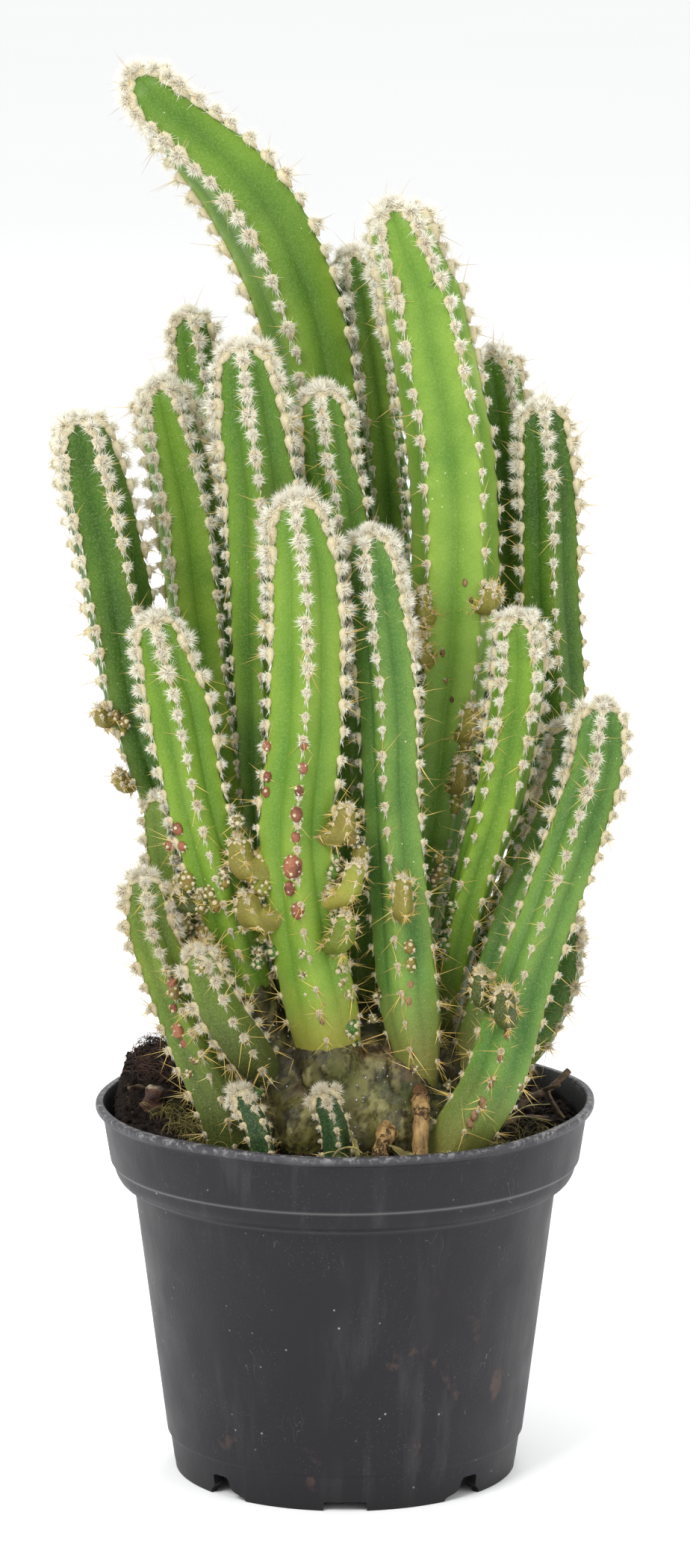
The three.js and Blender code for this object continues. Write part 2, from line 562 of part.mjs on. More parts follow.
// The pot's inner wall from the floor to the lip, as [radius, height].
const [ledgeOut, ledgeUp] = COLLAR_UNDERSIDE[1];
const potInside = [
  [SKIRT_TOP_RADIUS - WALL, FLOOR_UNDERSIDE + FLOOR_THICKNESS],
  [WALL_TOP_RADIUS - WALL, WALL_TOP_HEIGHT + WALL],
  [WALL_TOP_RADIUS - WALL + ledgeOut, WALL_TOP_HEIGHT + ledgeUp],
  [COLLAR_FOOT_RADIUS - WALL, COLLAR_FOOT_HEIGHT + COLLAR_STEP],
  [LIP_RADIUS - LIP_WIDTH, POT_HEIGHT],
];

// The pot's outer wall from the lip to the foot, as [radius, height].
const potOutside = [
  [LIP_RADIUS - LIP_ROUNDING, POT_HEIGHT],
  [LIP_RADIUS, POT_HEIGHT - LIP_DEPTH / 2],
  [LIP_RADIUS - LIP_ROUNDING / 2, POT_HEIGHT - LIP_DEPTH + LIP_ROUNDING / 2],
  [COLLAR_TOP_RADIUS, POT_HEIGHT - LIP_DEPTH - LIP_ROUNDING],
  [COLLAR_FOOT_RADIUS, COLLAR_FOOT_HEIGHT],
  [COLLAR_FOOT_RADIUS - COLLAR_STEP, COLLAR_FOOT_HEIGHT - COLLAR_STEP],
  ...COLLAR_UNDERSIDE.map(([out, up]) => [WALL_TOP_RADIUS + out, WALL_TOP_HEIGHT + up]).reverse(),
  [WALL_TOP_RADIUS, WALL_TOP_HEIGHT],
  [SKIRT_TOP_RADIUS + SKIRT_STEP / 2, SKIRT_HEIGHT],
  [SKIRT_TOP_RADIUS - SKIRT_STEP / 2, SKIRT_HEIGHT - SKIRT_STEP],
  [FOOT_RADIUS, 0],
];

// The outline turns about the pot's axis. The floor is set up inside the skirt.
function potSolid() {
  const outline = [
    [0, FLOOR_UNDERSIDE + FLOOR_THICKNESS],
    ...potInside,
    ...potOutside,
    [FOOT_RADIUS - FOOT_WIDTH, 0],
    [FOOT_RADIUS - FOOT_WIDTH - SKIRT_STEP, FLOOR_UNDERSIDE],
    [0, FLOOR_UNDERSIDE],
  ];
  const points = outline.reverse().map(([r, z]) => new THREE.Vector2(r, z));
  const turned = new THREE.LatheGeometry(points, POT_SIDES).rotateX(Math.PI / 2);
  let pot = solidOf(turned);
  for (let k = 0; k < NOTCHES; k++) {
    const { width, height } = k % 2 ? TALL_NOTCH : WIDE_NOTCH;
    const notch = new THREE.BoxGeometry(width, NOTCH_REACH, 2 * height);
    notch.translate(0, -FOOT_RADIUS, 0).rotateZ(circle(NOTCHES, k));
    pot = pot.subtract(solidOf(notch));
  }
  for (let k = 0; k < DRAIN_HOLES; k++) {
    const depth = 4 * FLOOR_THICKNESS;
    const hole = new THREE.CylinderGeometry(DRAIN_RADIUS, DRAIN_RADIUS, depth, DRAIN_SIDES);
    hole.rotateX(Math.PI / 2).translate(0, -DRAIN_RING_RADIUS, FLOOR_UNDERSIDE);
    hole.rotateZ(circle(DRAIN_HOLES, k + 0.5));
    pot = pot.subtract(solidOf(hole));
  }
  return pot;
}

function mound({ x, y, height, spread }, px, py) {
  return height * Math.exp(-((px - x) ** 2 + (py - y) ** 2) / (2 * spread * spread));
}

function peatHeight(x, y) {
  const level = PEAT_HEIGHT + mound(CLOD, x, y) + mound(LEFT_BANK, x, y);
  const wave = (w) => w.height * Math.sin(w.x * x + w.y * y + w.start);
  return PEAT_WAVES.reduce((sum, w) => sum + wave(w), level);
}

// The peat fills the pot up to the collar. Its side follows the pot's inner wall.
function peatBlock() {
  const around = (r, z) =>
    Array.from({ length: PEAT_SIDES }, (_, k) => {
      const [x, y] = [r * Math.cos(circle(PEAT_SIDES, k)), r * Math.sin(circle(PEAT_SIDES, k))];
      return [x, y, z ?? peatHeight(x, y)];
    });
  const side = potInside.slice(0, -1).map(([r, z]) => around(r - PEAT_ROOM, z + PEAT_ROOM));
  const top = PEAT_RINGS.map((r) => around(r));
  const foot = [0, 0, side[0][0][2]];
  const body = skin([...side, ...top], foot, [0, 0, peatHeight(0, 0)]);
  return solidOf(geometryOf(body.points, body.triangles));
}

function crownSolid(grow = 0) {
  const rings = CROWN_LEVELS.map(([z, r], level) =>
    Array.from({ length: CROWN_SIDES }, (_, k) => {
      const angle = circle(CROWN_SIDES, k);
      const [many, few] = CROWN_LUMPS.map((w) => w.out * Math.sin(w.count * angle + w.twist * level));
      const distance = r * (1 + many + few) + grow;
      const lowered = level === 0 ? grow : 0;
      return [
        CROWN_CENTRE.x + distance * Math.cos(angle),
        CROWN_CENTRE.y + distance * Math.sin(angle) * CROWN_FLATTENING,
        z - lowered,
      ];
    }));
  const { x, y } = CROWN_CENTRE;
  const body = skin(rings, [x, y, CROWN_LEVELS[0][0] - grow], [x, y, CROWN_TOP + grow]);
  const mass = solidOf(geometryOf(body.points, body.triangles));
  return AIR_ROOTS.reduce((all, root) => all.add(roundTube(root, ROOT_SIDES, grow)), mass);
}

function finish(colour, roughness) {
  return new THREE.MeshStandardMaterial({ color: colour, roughness, metalness: 0 });
}

const plant = new THREE.Group();
const sockets = STEMS.map(socketOf);

const pot = meshOf(potSolid(), "pot", finish(0x3e3d44, 0.6));
plant.add(pot);

const peat = sockets
  .reduce((block, socket) => block.subtract(socket), peatBlock())
  .subtract(crownSolid(GAP))
  .subtract(roundTube(TWIG, ROOT_SIDES, GAP));
plant.add(meshOf(peat, "peat", finish(0x32261f, 0.95)));

const crown = sockets.reduce((block, socket) => block.subtract(socket), crownSolid());
plant.add(meshOf(crown, "crown", finish(0x7a7448, 0.75)));

plant.add(meshOf(roundTube(TWIG, ROOT_SIDES), "twig", finish(0x4a3b2a, 0.9)));

STEMS.forEach((stem, k) => {
  const solid = stemSolid(stem, FIRST_SEED + SEED_STEP * k);
  plant.add(meshOf(solid, stem.name, finish(stem.colour, 0.5)));
});

export default plant;
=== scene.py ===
import math

import bmesh
import bpy
import numpy as np
from mathutils import Matrix, Vector


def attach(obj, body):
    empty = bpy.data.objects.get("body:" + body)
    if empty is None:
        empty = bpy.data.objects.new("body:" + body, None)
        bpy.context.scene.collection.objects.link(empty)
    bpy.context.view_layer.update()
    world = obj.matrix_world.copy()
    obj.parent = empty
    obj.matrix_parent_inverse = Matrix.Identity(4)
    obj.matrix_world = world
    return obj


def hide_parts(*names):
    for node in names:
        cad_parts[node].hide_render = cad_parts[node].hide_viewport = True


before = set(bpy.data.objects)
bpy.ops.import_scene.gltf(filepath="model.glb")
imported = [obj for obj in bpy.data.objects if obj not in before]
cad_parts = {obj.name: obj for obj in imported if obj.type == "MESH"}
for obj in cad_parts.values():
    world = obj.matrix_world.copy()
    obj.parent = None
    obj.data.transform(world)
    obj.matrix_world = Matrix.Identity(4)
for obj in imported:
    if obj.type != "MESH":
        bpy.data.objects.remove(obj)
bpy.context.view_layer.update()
MM = 0.001

# ---- Studio ---------------------------------------------------------------------------------
# A pale floor under a pale sky, with a large soft lamp at the upper left, a weaker one at the
# right and one behind. The camera looks down a little through a long lens, 1.3 m in front.

CAMERA_PLACE = (0.0, -1.3, 0.397)
CAMERA_PITCH = 10.9
FOCAL_PIXELS = 8503
PHOTO_HEIGHT = 2100
SENSOR = 36.0
CAMERA_REACH = 50
FLOOR_SIZE = 24.0
FLOOR_GREYS = ((0.93, 0.93, 0.93, 1), (0.95, 0.95, 0.95, 1))
LAMPS = [
    # name, place, size, watts
    ("lamp_left", (-0.7, -1.0, 1.3), 0.7, 20.0),
    ("lamp_right", (1.05, -0.9, 0.7), 0.8, 4.0),
    ("lamp_behind", (0.4, 1.1, 1.3), 0.9, 10.0),
]
LAMP_TARGET = (0.0, 0.0, 0.15)
SKY = (0.99, 0.995, 1.0, 1.0)
SKY_STRENGTH = 1.0


class Flow:
    """A value on its way through a node tree. Arithmetic on it adds the Math nodes that do it."""

    def __init__(self, tree, socket):
        self.tree = tree
        self.socket = socket
        self.is_vector = socket.type in ("VECTOR", "RGBA")

    def do(self, operation, *others):
        kind = "ShaderNodeVectorMath" if self.is_vector else "ShaderNodeMath"
        new = self.tree.nodes.new(kind)
        new.operation = operation
        sockets = [s for s in new.inputs if s.enabled]
        for socket, value in zip(sockets, (self, *others)):
            plug(self.tree, socket, value)
        return flow(new)

    def __add__(self, other):
        return self.do("ADD", other)

    def __sub__(self, other):
        return self.do("SUBTRACT", other)

    def __rsub__(self, other):
        return self * -1.0 + other

    def __mul__(self, other):
        other_is_vector = isinstance(other, tuple) or getattr(other, "is_vector", False)
        if self.is_vector and not other_is_vector:
            return self.do("SCALE", other)
        if other_is_vector and not self.is_vector:
            return other * self
        return self.do("MULTIPLY", other)

    def __truediv__(self, other):
        return self.do("DIVIDE", other)

    def __gt__(self, other):
        return self.do("GREATER_THAN", other)

    def __lt__(self, other):
        return self.do("LESS_THAN", other)

    def clamp(self):
        return self.do("MAXIMUM", 0.0).do("MINIMUM", 1.0)

    def hump(self, width):
        """1 where the value is 0, falling away as a bell of this width."""
        return (self * self * (-1.0 / width**2)).do("EXPONENT")

    def between(self, low, high):
        """0 at low, 1 at high, and even in between."""
        return ((self - low) / (high - low)).clamp()


def plug(tree, socket, value):
    if isinstance(value, Flow):
        tree.links.new(value.socket, socket)
    else:
        socket.default_value = value


def node(tree, kind, settings=None, **inputs):
    """Adds a node. Its inputs are given by socket name, with _ for each space."""
    new = tree.nodes.new(kind)
    for key, value in (settings or {}).items():
        setattr(new, key, value)
    for name, value in inputs.items():
        socket = next(s for s in new.inputs if s.enabled and s.name == name.replace("_", " "))
        plug(tree, socket, value)
    return new


def flow(source, name=None):
    """The value that a node gives: its first output, or the one of this name."""
    chosen = next(s for s in source.outputs if s.enabled and name in (None, s.name))
    return Flow(source.id_data, chosen)


def srgb(red, green, blue):
    """A colour given as it looks on a screen, 0 to 255, as the linear colour that nodes take."""
    linear = [((c / 255 + 0.055) / 1.055) ** 2.4 if c > 10 else c / 3294.6 for c in (red, green, blue)]
    return (*linear, 1.0)


def mixed(tree, amount, first, second):
    mix = node(tree, "ShaderNodeMix", {"data_type": "RGBA"}, Factor=amount, A=first, B=second)
    return flow(mix, "Result")


def noise_at(tree, place, scale, detail=2.0, rough=0.5, output=None):
    """Noise with this many features in a metre."""
    noise = node(tree, "ShaderNodeTexNoise", Vector=place, Scale=scale, Detail=detail, Roughness=rough)
    return flow(noise, output)


def on_piece(tree):
    """Where a point of the surface lies on its piece."""
    return flow(node(tree, "ShaderNodeTexCoord"), "Object")


def grain(tree, scale, detail=2.0, rough=0.5, stretch=None):
    """Noise that is fixed to the piece. A stretch under 1 draws it out along that axis."""
    place = on_piece(tree) * stretch if stretch else on_piece(tree)
    return noise_at(tree, place, scale, detail, rough)


def material(name):
    new = bpy.data.materials.new(name)
    new.use_nodes = True
    return new, new.node_tree, new.node_tree.nodes["Principled BSDF"]


def finish_with(tree, shader, **inputs):
    for name, value in inputs.items():
        plug(tree, shader.inputs[name.replace("_", " ")], value)


def add_object(name, data):
    new = bpy.data.objects.new(name, data)
    bpy.context.scene.collection.objects.link(new)
    return new


camera = add_object("camera", bpy.data.cameras.new("camera"))
camera.data.sensor_width = SENSOR
camera.data.lens = SENSOR * FOCAL_PIXELS / PHOTO_HEIGHT
camera.data.clip_end = CAMERA_REACH
camera.location = CAMERA_PLACE
camera.rotation_euler = (math.radians(90 - CAMERA_PITCH), 0, 0)
bpy.context.scene.camera = camera
bpy.context.scene.view_settings.view_transform = "Standard"

half = FLOOR_SIZE / 2
corners = [(-half, -half, 0), (half, -half, 0), (half, half, 0), (-half, half, 0)]
floor_mesh = bpy.data.meshes.new("floor")
floor_mesh.from_pydata(corners, [], [(0, 1, 2, 3)])
floor = add_object("floor", floor_mesh)
floor_paint, tree, shader = material("pale_floor")
finish_with(tree, shader, Base_Color=mixed(tree, grain(tree, 3.0), *FLOOR_GREYS), Roughness=0.9)
floor.data.materials.append(floor_paint)

for name, place, size, watts in LAMPS:
    lamp = add_object(name, bpy.data.lights.new(name, "AREA"))
    lamp.data.size = size
    lamp.data.energy = watts
    lamp.location = place
    x, y, z = np.array(LAMP_TARGET) - np.array(place)
    lamp.rotation_euler = (math.acos(-z / math.hypot(x, y, z)), 0, math.atan2(-x, y))

world = bpy.data.worlds.new("sky")
bpy.context.scene.world = world
world.use_nodes = True
world.node_tree.nodes["Background"].inputs["Color"].default_value = SKY
world.node_tree.nodes["Background"].inputs["Strength"].default_value = SKY_STRENGTH

# ---- Pot ------------------------------------------------------------------------------------
# A thin injection-moulded nursery pot in charcoal plastic: beaded lip, collar with a fine step, plain tapered
# wall, and a skirt with eight notches. It is dusty, and scuffed along its lip. A painted sheen below the lip
# and painted highlight lines at the step and at the foot of the collar stand in for light, and its inside is
# darkened with painted shade.

POT_HEIGHT = 80.0
FOOT_RADIUS = 36.0
POT_SIDES = 288
CORNER_STEPS = 4

# The outline from the middle of the floor up the inside, over the lip and down to the foot:
# [radius, height, rounding of the corner] in millimetres.
POT_INSIDE = [(0, 5.2, 0), (36.1, 5.2, 1.5), (43.2, 63.1, 0.8), (46.7, 63.8, 1.0), (48.1, 67.8, 0.8)]
POT_OUTLINE = POT_INSIDE + [
    (50.9, 80, 0.35), (52.5, 80, 0.75), (52.5, 78.2, 0.7), (51.05, 77.6, 0.4),
    (49.4, 67.2, 0.2), (48.8, 66.6, 0.25), (48.2, 64.1, 1.4), (46.6, 62.4, 1.4), (44.5, 61.8, 0.5),
    (37.7, 8.2, 0.2), (37.1, 7.6, 0.25), (36, 0, 0.25), (34.4, 0, 0.3), (33.8, 3.8, 0.8), (0, 3.8, 0)]

# Notches by turns: a wide low one, and a narrow tall one whose one side runs out in an S.
WIDE_NOTCH = [(-4.5, -1, 0), (-4.5, 2, 0.6), (4.5, 2, 0.6), (4.5, -1, 0)]
TALL_NOTCH = [(-3.6, -1, 0), (-3.6, 0.9, 0.6), (-2.3, 1.9, 0.6), (-2.3, 4.6, 0.7), (1.9, 4.6, 0.9),
              (2.6, 1.8, 1.2), (6.2, 0.7, 0.9), (6.2, -1, 0)]
NOTCHES = 8
NOTCH_REACH = 4.0
DRAIN_RING_RADIUS = 24.0
DRAIN_RADIUS = 3.0
DRAIN_SIDES = 24
DRAIN_CUT = (2.0, 7.0)
SHARP_ANGLE = math.radians(34)
WALL_ROOM = 0.5

# The thin lip is never quite round or level. Swell is in shares of its radius and heave is in
# millimetres, each with the number of waves round the lip and where they start. They fade from
# the lip down, by a power of the height.
LIP_SWELL = [(0.004, 2, 0.7), (0.0012, 7, 0.0)]
LIP_TUCK = 0.003
LIP_HEAVE = [(0.3, 3, 1.9), (0.12, 8, 0.0)]
LIP_DROP = 0.4
LIP_FADE = 5

# Heights of the lines, with their widths, in millimetres: the scuffed lip edge, a painted sheen just below
# it, and painted highlight lines at the step and at the foot of the collar.
LIP_EDGE = (79.4, 0.9)
PAINTED_LIP_SHEEN = (79.0, 1.2)
STEP_HIGHLIGHT_LINE = (66.95, 0.28)
COLLAR_HIGHLIGHT_LINE = (62.1, 0.5)


def rounded(corners):
    """The outline through these corners, each rounded off by its third number."""
    outline = [np.array(corners[0][:2], float)]
    for before, here, after in zip(corners, corners[1:], corners[2:]):
        corner = np.array(here[:2], float)
        ways = [np.array(other[:2], float) - corner for other in (before, after)]
        start, end = (corner + way / np.linalg.norm(way) * here[2] for way in ways)
        steps = np.linspace(0, 1, CORNER_STEPS + 1) if here[2] else [0]
        outline += [start * (1 - t) ** 2 + corner * 2 * t * (1 - t) + end * t**2 for t in steps]
    return np.array([*outline, corners[-1][:2]])


def turned(outline, sides):
    """Points and faces of an outline turned about Z. Its first and last points are on the axis."""
    angle = np.arange(sides) * (2 * math.pi / sides)
    radius, height = outline[1:-1, :1], outline[1:-1, 1:]
    rings = np.stack([radius * np.cos(angle), radius * np.sin(angle), height + 0 * angle], axis=-1)
    points = [(0, 0, outline[0, 1]), *rings.reshape(-1, 3).tolist(), (0, 0, outline[-1, 1])]
    last = len(points) - 1
    around = [(k, (k + 1) % sides) for k in range(sides)]
    faces = [(0, 1 + b, 1 + a) for a, b in around]
    for level in range(len(rings) - 1):
        low, high = 1 + level * sides, 1 + (level + 1) * sides
        faces += [(low + a, low + b, high + b, high + a) for a, b in around]
    top = 1 + (len(rings) - 1) * sides
    return points, faces + [(last, top + a, top + b) for a, b in around]


def solid_mesh(name, points, faces):
    """A mesh from points in millimetres, with its normals turned out."""
    mesh = bpy.data.meshes.new(name)
    mesh.from_pydata((np.array(points) * MM).tolist(), [], faces)
    work = bmesh.new()
    work.from_mesh(mesh)
    bmesh.ops.recalc_face_normals(work, faces=work.faces)
    work.to_mesh(mesh)
    work.free()
    return mesh


def prism_faces(n):
    """The ends and sides of a prism: n points of the near end, then n of the far one."""
    sides = [(k, (k + 1) % n, n + (k + 1) % n, n + k) for k in range(n)]
    return [tuple(range(n)), tuple(range(2 * n - 1, n - 1, -1)), *sides]


def notch_cutter(outline, turn):
    """An outline in X and Z drawn out through the front of the skirt, then turned about Z."""
    ends = (-FOOT_RADIUS - NOTCH_REACH, -FOOT_RADIUS + NOTCH_REACH)
    cos, sin = math.cos(turn), math.sin(turn)
    points = [(x * cos - y * sin, x * sin + y * cos, z) for y in ends for x, z in outline]
    return points, prism_faces(len(outline))


def drain_cutter(turn):
    """A drain hole through the floor of the pot, this way round from the front."""
    middle_x, middle_y = DRAIN_RING_RADIUS * math.sin(turn), -DRAIN_RING_RADIUS * math.cos(turn)
    rim = [(DRAIN_RADIUS * math.cos(a), DRAIN_RADIUS * math.sin(a))
           for a in np.linspace(0, 2 * math.pi, DRAIN_SIDES, endpoint=False)]
    return [(middle_x + x, middle_y + y, z) for z in DRAIN_CUT for x, y in rim], prism_faces(DRAIN_SIDES)


def plain_mesh(piece):
    """Gives the piece the mesh that its modifiers make, and removes them."""
    bpy.context.view_layer.update()
    evaluated = piece.evaluated_get(bpy.context.evaluated_depsgraph_get())
    piece.data = bpy.data.meshes.new_from_object(evaluated)
    piece.modifiers.clear()


def hand_over(piece, slot, *nodes):
    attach(piece, "root")
    if nodes:
        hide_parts(*nodes)


pot = add_object("nursery_pot", solid_mesh("nursery_pot", *turned(rounded(POT_OUTLINE), POT_SIDES)))
cut_points, cut_faces = [], []
for k in range(NOTCHES):
    turn = k * 2 * math.pi / NOTCHES
    outline = rounded(TALL_NOTCH if k % 2 else WIDE_NOTCH)
    if k % 4 == 1:
        outline = outline * (-1, 1)
    for points, faces in (notch_cutter(outline, turn), drain_cutter(turn + math.pi / NOTCHES)):
        cut_faces += [tuple(len(cut_points) + corner for corner in face) for face in faces]
        cut_points += points
cutter = add_object("pot_cutter", solid_mesh("pot_cutter", cut_points, cut_faces))
cut = pot.modifiers.new("cut", "BOOLEAN")
cut.object = cutter
cut.solver = "EXACT"
plain_mesh(pot)
bpy.data.objects.remove(cutter)


def waves(angle, parts):
    return sum(size * np.sin(count * angle + start) for size, count, start in parts)


place = np.empty(len(pot.data.vertices) * 3, np.float32)
pot.data.vertices.foreach_get("co", place)
place = place.reshape(-1, 3)
angle = np.arctan2(place[:, 1], place[:, 0])
near_lip = np.clip(place[:, 2] / (POT_HEIGHT * MM), 0, 1) ** LIP_FADE
place[:, :2] *= (1 + near_lip * (waves(angle, LIP_SWELL) - LIP_TUCK))[:, None]
place[:, 2] += near_lip * MM * (waves(angle, LIP_HEAVE) - LIP_DROP)
pot.data.vertices.foreach_set("co", place.ravel())
pot.data.shade_smooth()
pot.data.set_sharp_from_angle(angle=SHARP_ANGLE)
# Points on the inside of the wall are marked, for painted shade there.
wall = np.interp(place[:, 2] / MM, [z for _, z, _ in POT_INSIDE[1:]], [r for r, _, _ in POT_INSIDE[1:]])
within = (np.hypot(place[:, 0], place[:, 1]) / MM < wall + WALL_ROOM).astype(np.float32)
pot.data.attributes.new("inside", "FLOAT", "POINT").data.foreach_set("value", within)


def cells(tree, scale):
    """How far a point is from the middle of its cell, for dots that are strewn over a piece."""
    return flow(node(tree, "ShaderNodeTexVoronoi", Vector=on_piece(tree), Scale=scale), "Distance")


def apart(tree, vector):
    """The X, Y and Z of a vector."""
    split = node(tree, "ShaderNodeSeparateXYZ", Vector=vector)
    return [flow(split, axis) for axis in "XYZ"]


def attribute(tree, name):
    return flow(node(tree, "ShaderNodeAttribute", {"attribute_name": name}), "Fac")


def bump(tree, height, depth):
    return flow(node(tree, "ShaderNodeBump", Height=height, Distance=depth, Strength=1.0))


def layered(tree, colour, *layers):
    """Lays tints over a colour one by one. Each layer is an amount and its tint."""
    for amount, tint in layers:
        colour = mixed(tree, amount, colour, tint)
    return colour


plastic, tree, shader = material("pot_plastic")
height = apart(tree, on_piece(tree))[2]
on_edge, painted_lip_sheen, step_highlight, collar_highlight = [
    (height - level * MM).hump(width * MM) for level, width in (LIP_EDGE, PAINTED_LIP_SHEEN, STEP_HIGHLIGHT_LINE, COLLAR_HIGHLIGHT_LINE)]
specks = cells(tree, 1500.0).between(0.16, 0.05) * grain(tree, 70.0, 3.0).between(0.4, 0.62)
flecks = cells(tree, 260.0).between(0.075, 0.045) * grain(tree, 40.0).between(0.45, 0.6)
streaks = grain(tree, 160.0, 5.0, 0.6, (1.0, 1.0, 0.1)).between(0.5, 0.72)
streaks = streaks * grain(tree, 24.0).between(0.42, 0.6)
hairlines = (grain(tree, 420.0, 1.0, 0.5, (1.0, 1.0, 0.3)) - 0.5).hump(0.0018)
hairlines = hairlines * grain(tree, 130.0).between(0.6, 0.66)
worn = on_edge * grain(tree, 620.0, 4.0, 0.7).between(0.5, 0.62)
splashes = grain(tree, 115.0, 4.0, 0.65).between(0.62, 0.7) * grain(tree, 13.0).between(0.5, 0.62)
charcoal = mixed(tree, grain(tree, 30.0, 3.0), srgb(18, 17, 22), srgb(24, 23, 29))
colour = layered(
    tree, charcoal,
    (streaks * 0.14, srgb(120, 116, 112)),
    (specks * 0.3, srgb(160, 156, 150)),
    ((flecks + hairlines * 0.5).clamp() * 0.4, srgb(205, 200, 190)),
    (splashes * 0.35, srgb(112, 84, 66)),
    # Wear along the lip edge, with painted highlight lines at the step and the collar foot.
    ((worn * 0.4 + (step_highlight * 0.5 + collar_highlight * 0.25) * 0.4).clamp(), srgb(176, 174, 172)),
    # A painted sheen just below the lip.
    (painted_lip_sheen * 0.12, srgb(150, 150, 156)),
    # Painted shade over the inside of the pot.
    (attribute(tree, "inside") * 0.75, srgb(13, 12, 13)))
finish_with(tree, shader, Base_Color=colour, Specular_IOR_Level=0.3,
            Roughness=grain(tree, 120.0, 3.0) * 0.25 + 0.36 + specks * 0.3,
            Normal=bump(tree, grain(tree, 1500.0, 3.0) + worn * 0.8, 0.06 * MM))
pot.data.materials.append(plastic)
hand_over(pot, "pot_plastic", "pot")

# ---- Peat -----------------------------------------------------------------------------------
# Dark potting peat that fills the pot to just under its lip. It was firmed by hand round the
# plant: crumbly, with woody fibres, a bank at the left, and a clod that stands above the lip.

PEAT_HEIGHT = 75.0
PEAT_RADIUS = 48.4
PEAT_ROOM = 0.3
CLOD = dict(x=-40.0, y=16.0, height=11.0, spread=8.0)
LEFT_BANK = dict(x=-42.0, y=-6.0, height=3.5, spread=14.0)
PEAT_WAVES = [(0.45, 0.31, 0.27, 1.3), (0.45, 0.31, -0.27, 1.3), (0.5, -0.4, 0.53, 0.0)]
PEAT_SIDES = 300
PEAT_RINGS = 84
RINGS_OUTWARD = 0.8
EDGE_SLOPE = 1.5
EDGE_BEVEL = (0.6, 70.0)
FIRMED_EDGE = 0.4
PATCH_STEPS = 25


def peat_height(x, y):
    """The surface of the peat in millimetres, before its crumbs."""
    height = PEAT_HEIGHT + sum(h * np.sin(a * x + b * y + c) for h, a, b, c in PEAT_WAVES)
    for m in (CLOD, LEFT_BANK):
        far = (x - m["x"]) ** 2 + (y - m["y"]) ** 2
        height = height + m["height"] * np.exp(-far / (2 * m["spread"] ** 2))
    return height


def tree_with(name, **inputs):
    """A Geometry Nodes tree with named inputs: their kinds are told from their first values."""
    tree = bpy.data.node_groups.new(name, "GeometryNodeTree")
    kinds = {int: "NodeSocketInt", float: "NodeSocketFloat", str: "NodeSocketMaterial"}
    tree.interface.new_socket("Geometry", in_out="INPUT", socket_type="NodeSocketGeometry")
    for label, value in inputs.items():
        kind = kinds[type(value)]
        socket = tree.interface.new_socket(label.replace("_", " "), in_out="INPUT", socket_type=kind)
        if not isinstance(value, str):
            socket.default_value = value
    tree.interface.new_socket("Geometry", in_out="OUTPUT", socket_type="NodeSocketGeometry")
    entry = tree.nodes.new("NodeGroupInput")
    return tree, {s.name.replace(" ", "_"): Flow(tree, s) for s in entry.outputs if s.name}


def close_tree(tree, geometry, finish):
    """Every tree ends in real geometry with its material on it."""
    real = flow(node(tree, "GeometryNodeRealizeInstances", Geometry=geometry))
    dressed = flow(node(tree, "GeometryNodeSetMaterial", Geometry=real, Material=finish))
    plug(tree, tree.nodes.new("NodeGroupOutput").inputs[0], dressed)
    return tree


def run_tree(tree, host, name, keep=(), **inputs):
    """Runs a tree on a host mesh. Its result becomes a plain mesh object with the kept attributes."""
    modifier = host.modifiers.new("nodes", "NODES")
    modifier.node_group = tree
    for item in tree.interface.items_tree:
        label = item.name.replace(" ", "_")
        if item.in_out == "INPUT" and label in inputs:
            modifier[item.identifier] = inputs[label]
    bpy.context.view_layer.update()
    evaluated = host.evaluated_get(bpy.context.evaluated_depsgraph_get())
    mesh = bpy.data.meshes.new_from_object(evaluated)
    host.modifiers.remove(modifier)
    needed = {"position", "sharp_face", "material_index", *keep}
    for spare in [a.name for a in mesh.attributes if a.name[0] != "." and a.name not in needed]:
        mesh.attributes.remove(mesh.attributes[spare])
    return add_object(name, mesh)


def named(tree, name):
    return flow(node(tree, "GeometryNodeInputNamedAttribute", {"data_type": "FLOAT"}, Name=name))


def named_way(tree, name):
    return flow(node(tree, "GeometryNodeInputNamedAttribute", {"data_type": "FLOAT_VECTOR"}, Name=name))


def store(tree, geometry, **values):
    """Keeps each value on the points under its name."""
    for name, value in values.items():
        settings = {"data_type": "FLOAT_VECTOR" if value.is_vector else "FLOAT", "domain": "POINT"}
        geometry = flow(node(tree, "GeometryNodeStoreNamedAttribute", settings, Geometry=geometry, Name=name,
                             Value=value))
    return geometry


def chance(tree, low, high, seed):
    """A number or a vector drawn for each point."""
    settings = {"data_type": "FLOAT_VECTOR" if isinstance(low, tuple) else "FLOAT"}
    return flow(node(tree, "FunctionNodeRandomValue", settings, Min=low, Max=high, Seed=seed))


def joined(tree, *parts):
    join = node(tree, "GeometryNodeJoinGeometry")
    for part in parts:
        tree.links.new(part.socket, join.inputs[0])
    return flow(join)


def triple(tree, x, y, z):
    return flow(node(tree, "ShaderNodeCombineXYZ", X=x, Y=y, Z=z))


def position(tree):
    return flow(node(tree, "GeometryNodeInputPosition"))


def moved(tree, geometry, **how):
    """Moves each point by an Offset, or to a Position."""
    return flow(node(tree, "GeometryNodeSetPosition", Geometry=geometry, **how))


def smoothed(tree, geometry):
    return flow(node(tree, "GeometryNodeSetShadeSmooth", Geometry=geometry))


def copied(tree, points, shape, turn, size):
    """A copy of the shape on each point."""
    return flow(node(tree, "GeometryNodeInstanceOnPoints", Points=points, Instance=shape, Rotation=turn,
                     Scale=size))


def strewn_over(tree, surface, method, **how):
    """Points strewn over a surface, and the way that it faces at each."""
    settings = {"distribute_method": method}
    strewn = node(tree, "GeometryNodeDistributePointsOnFaces", settings, Mesh=surface, **how)
    return flow(strewn, "Points"), flow(strewn, "Normal")


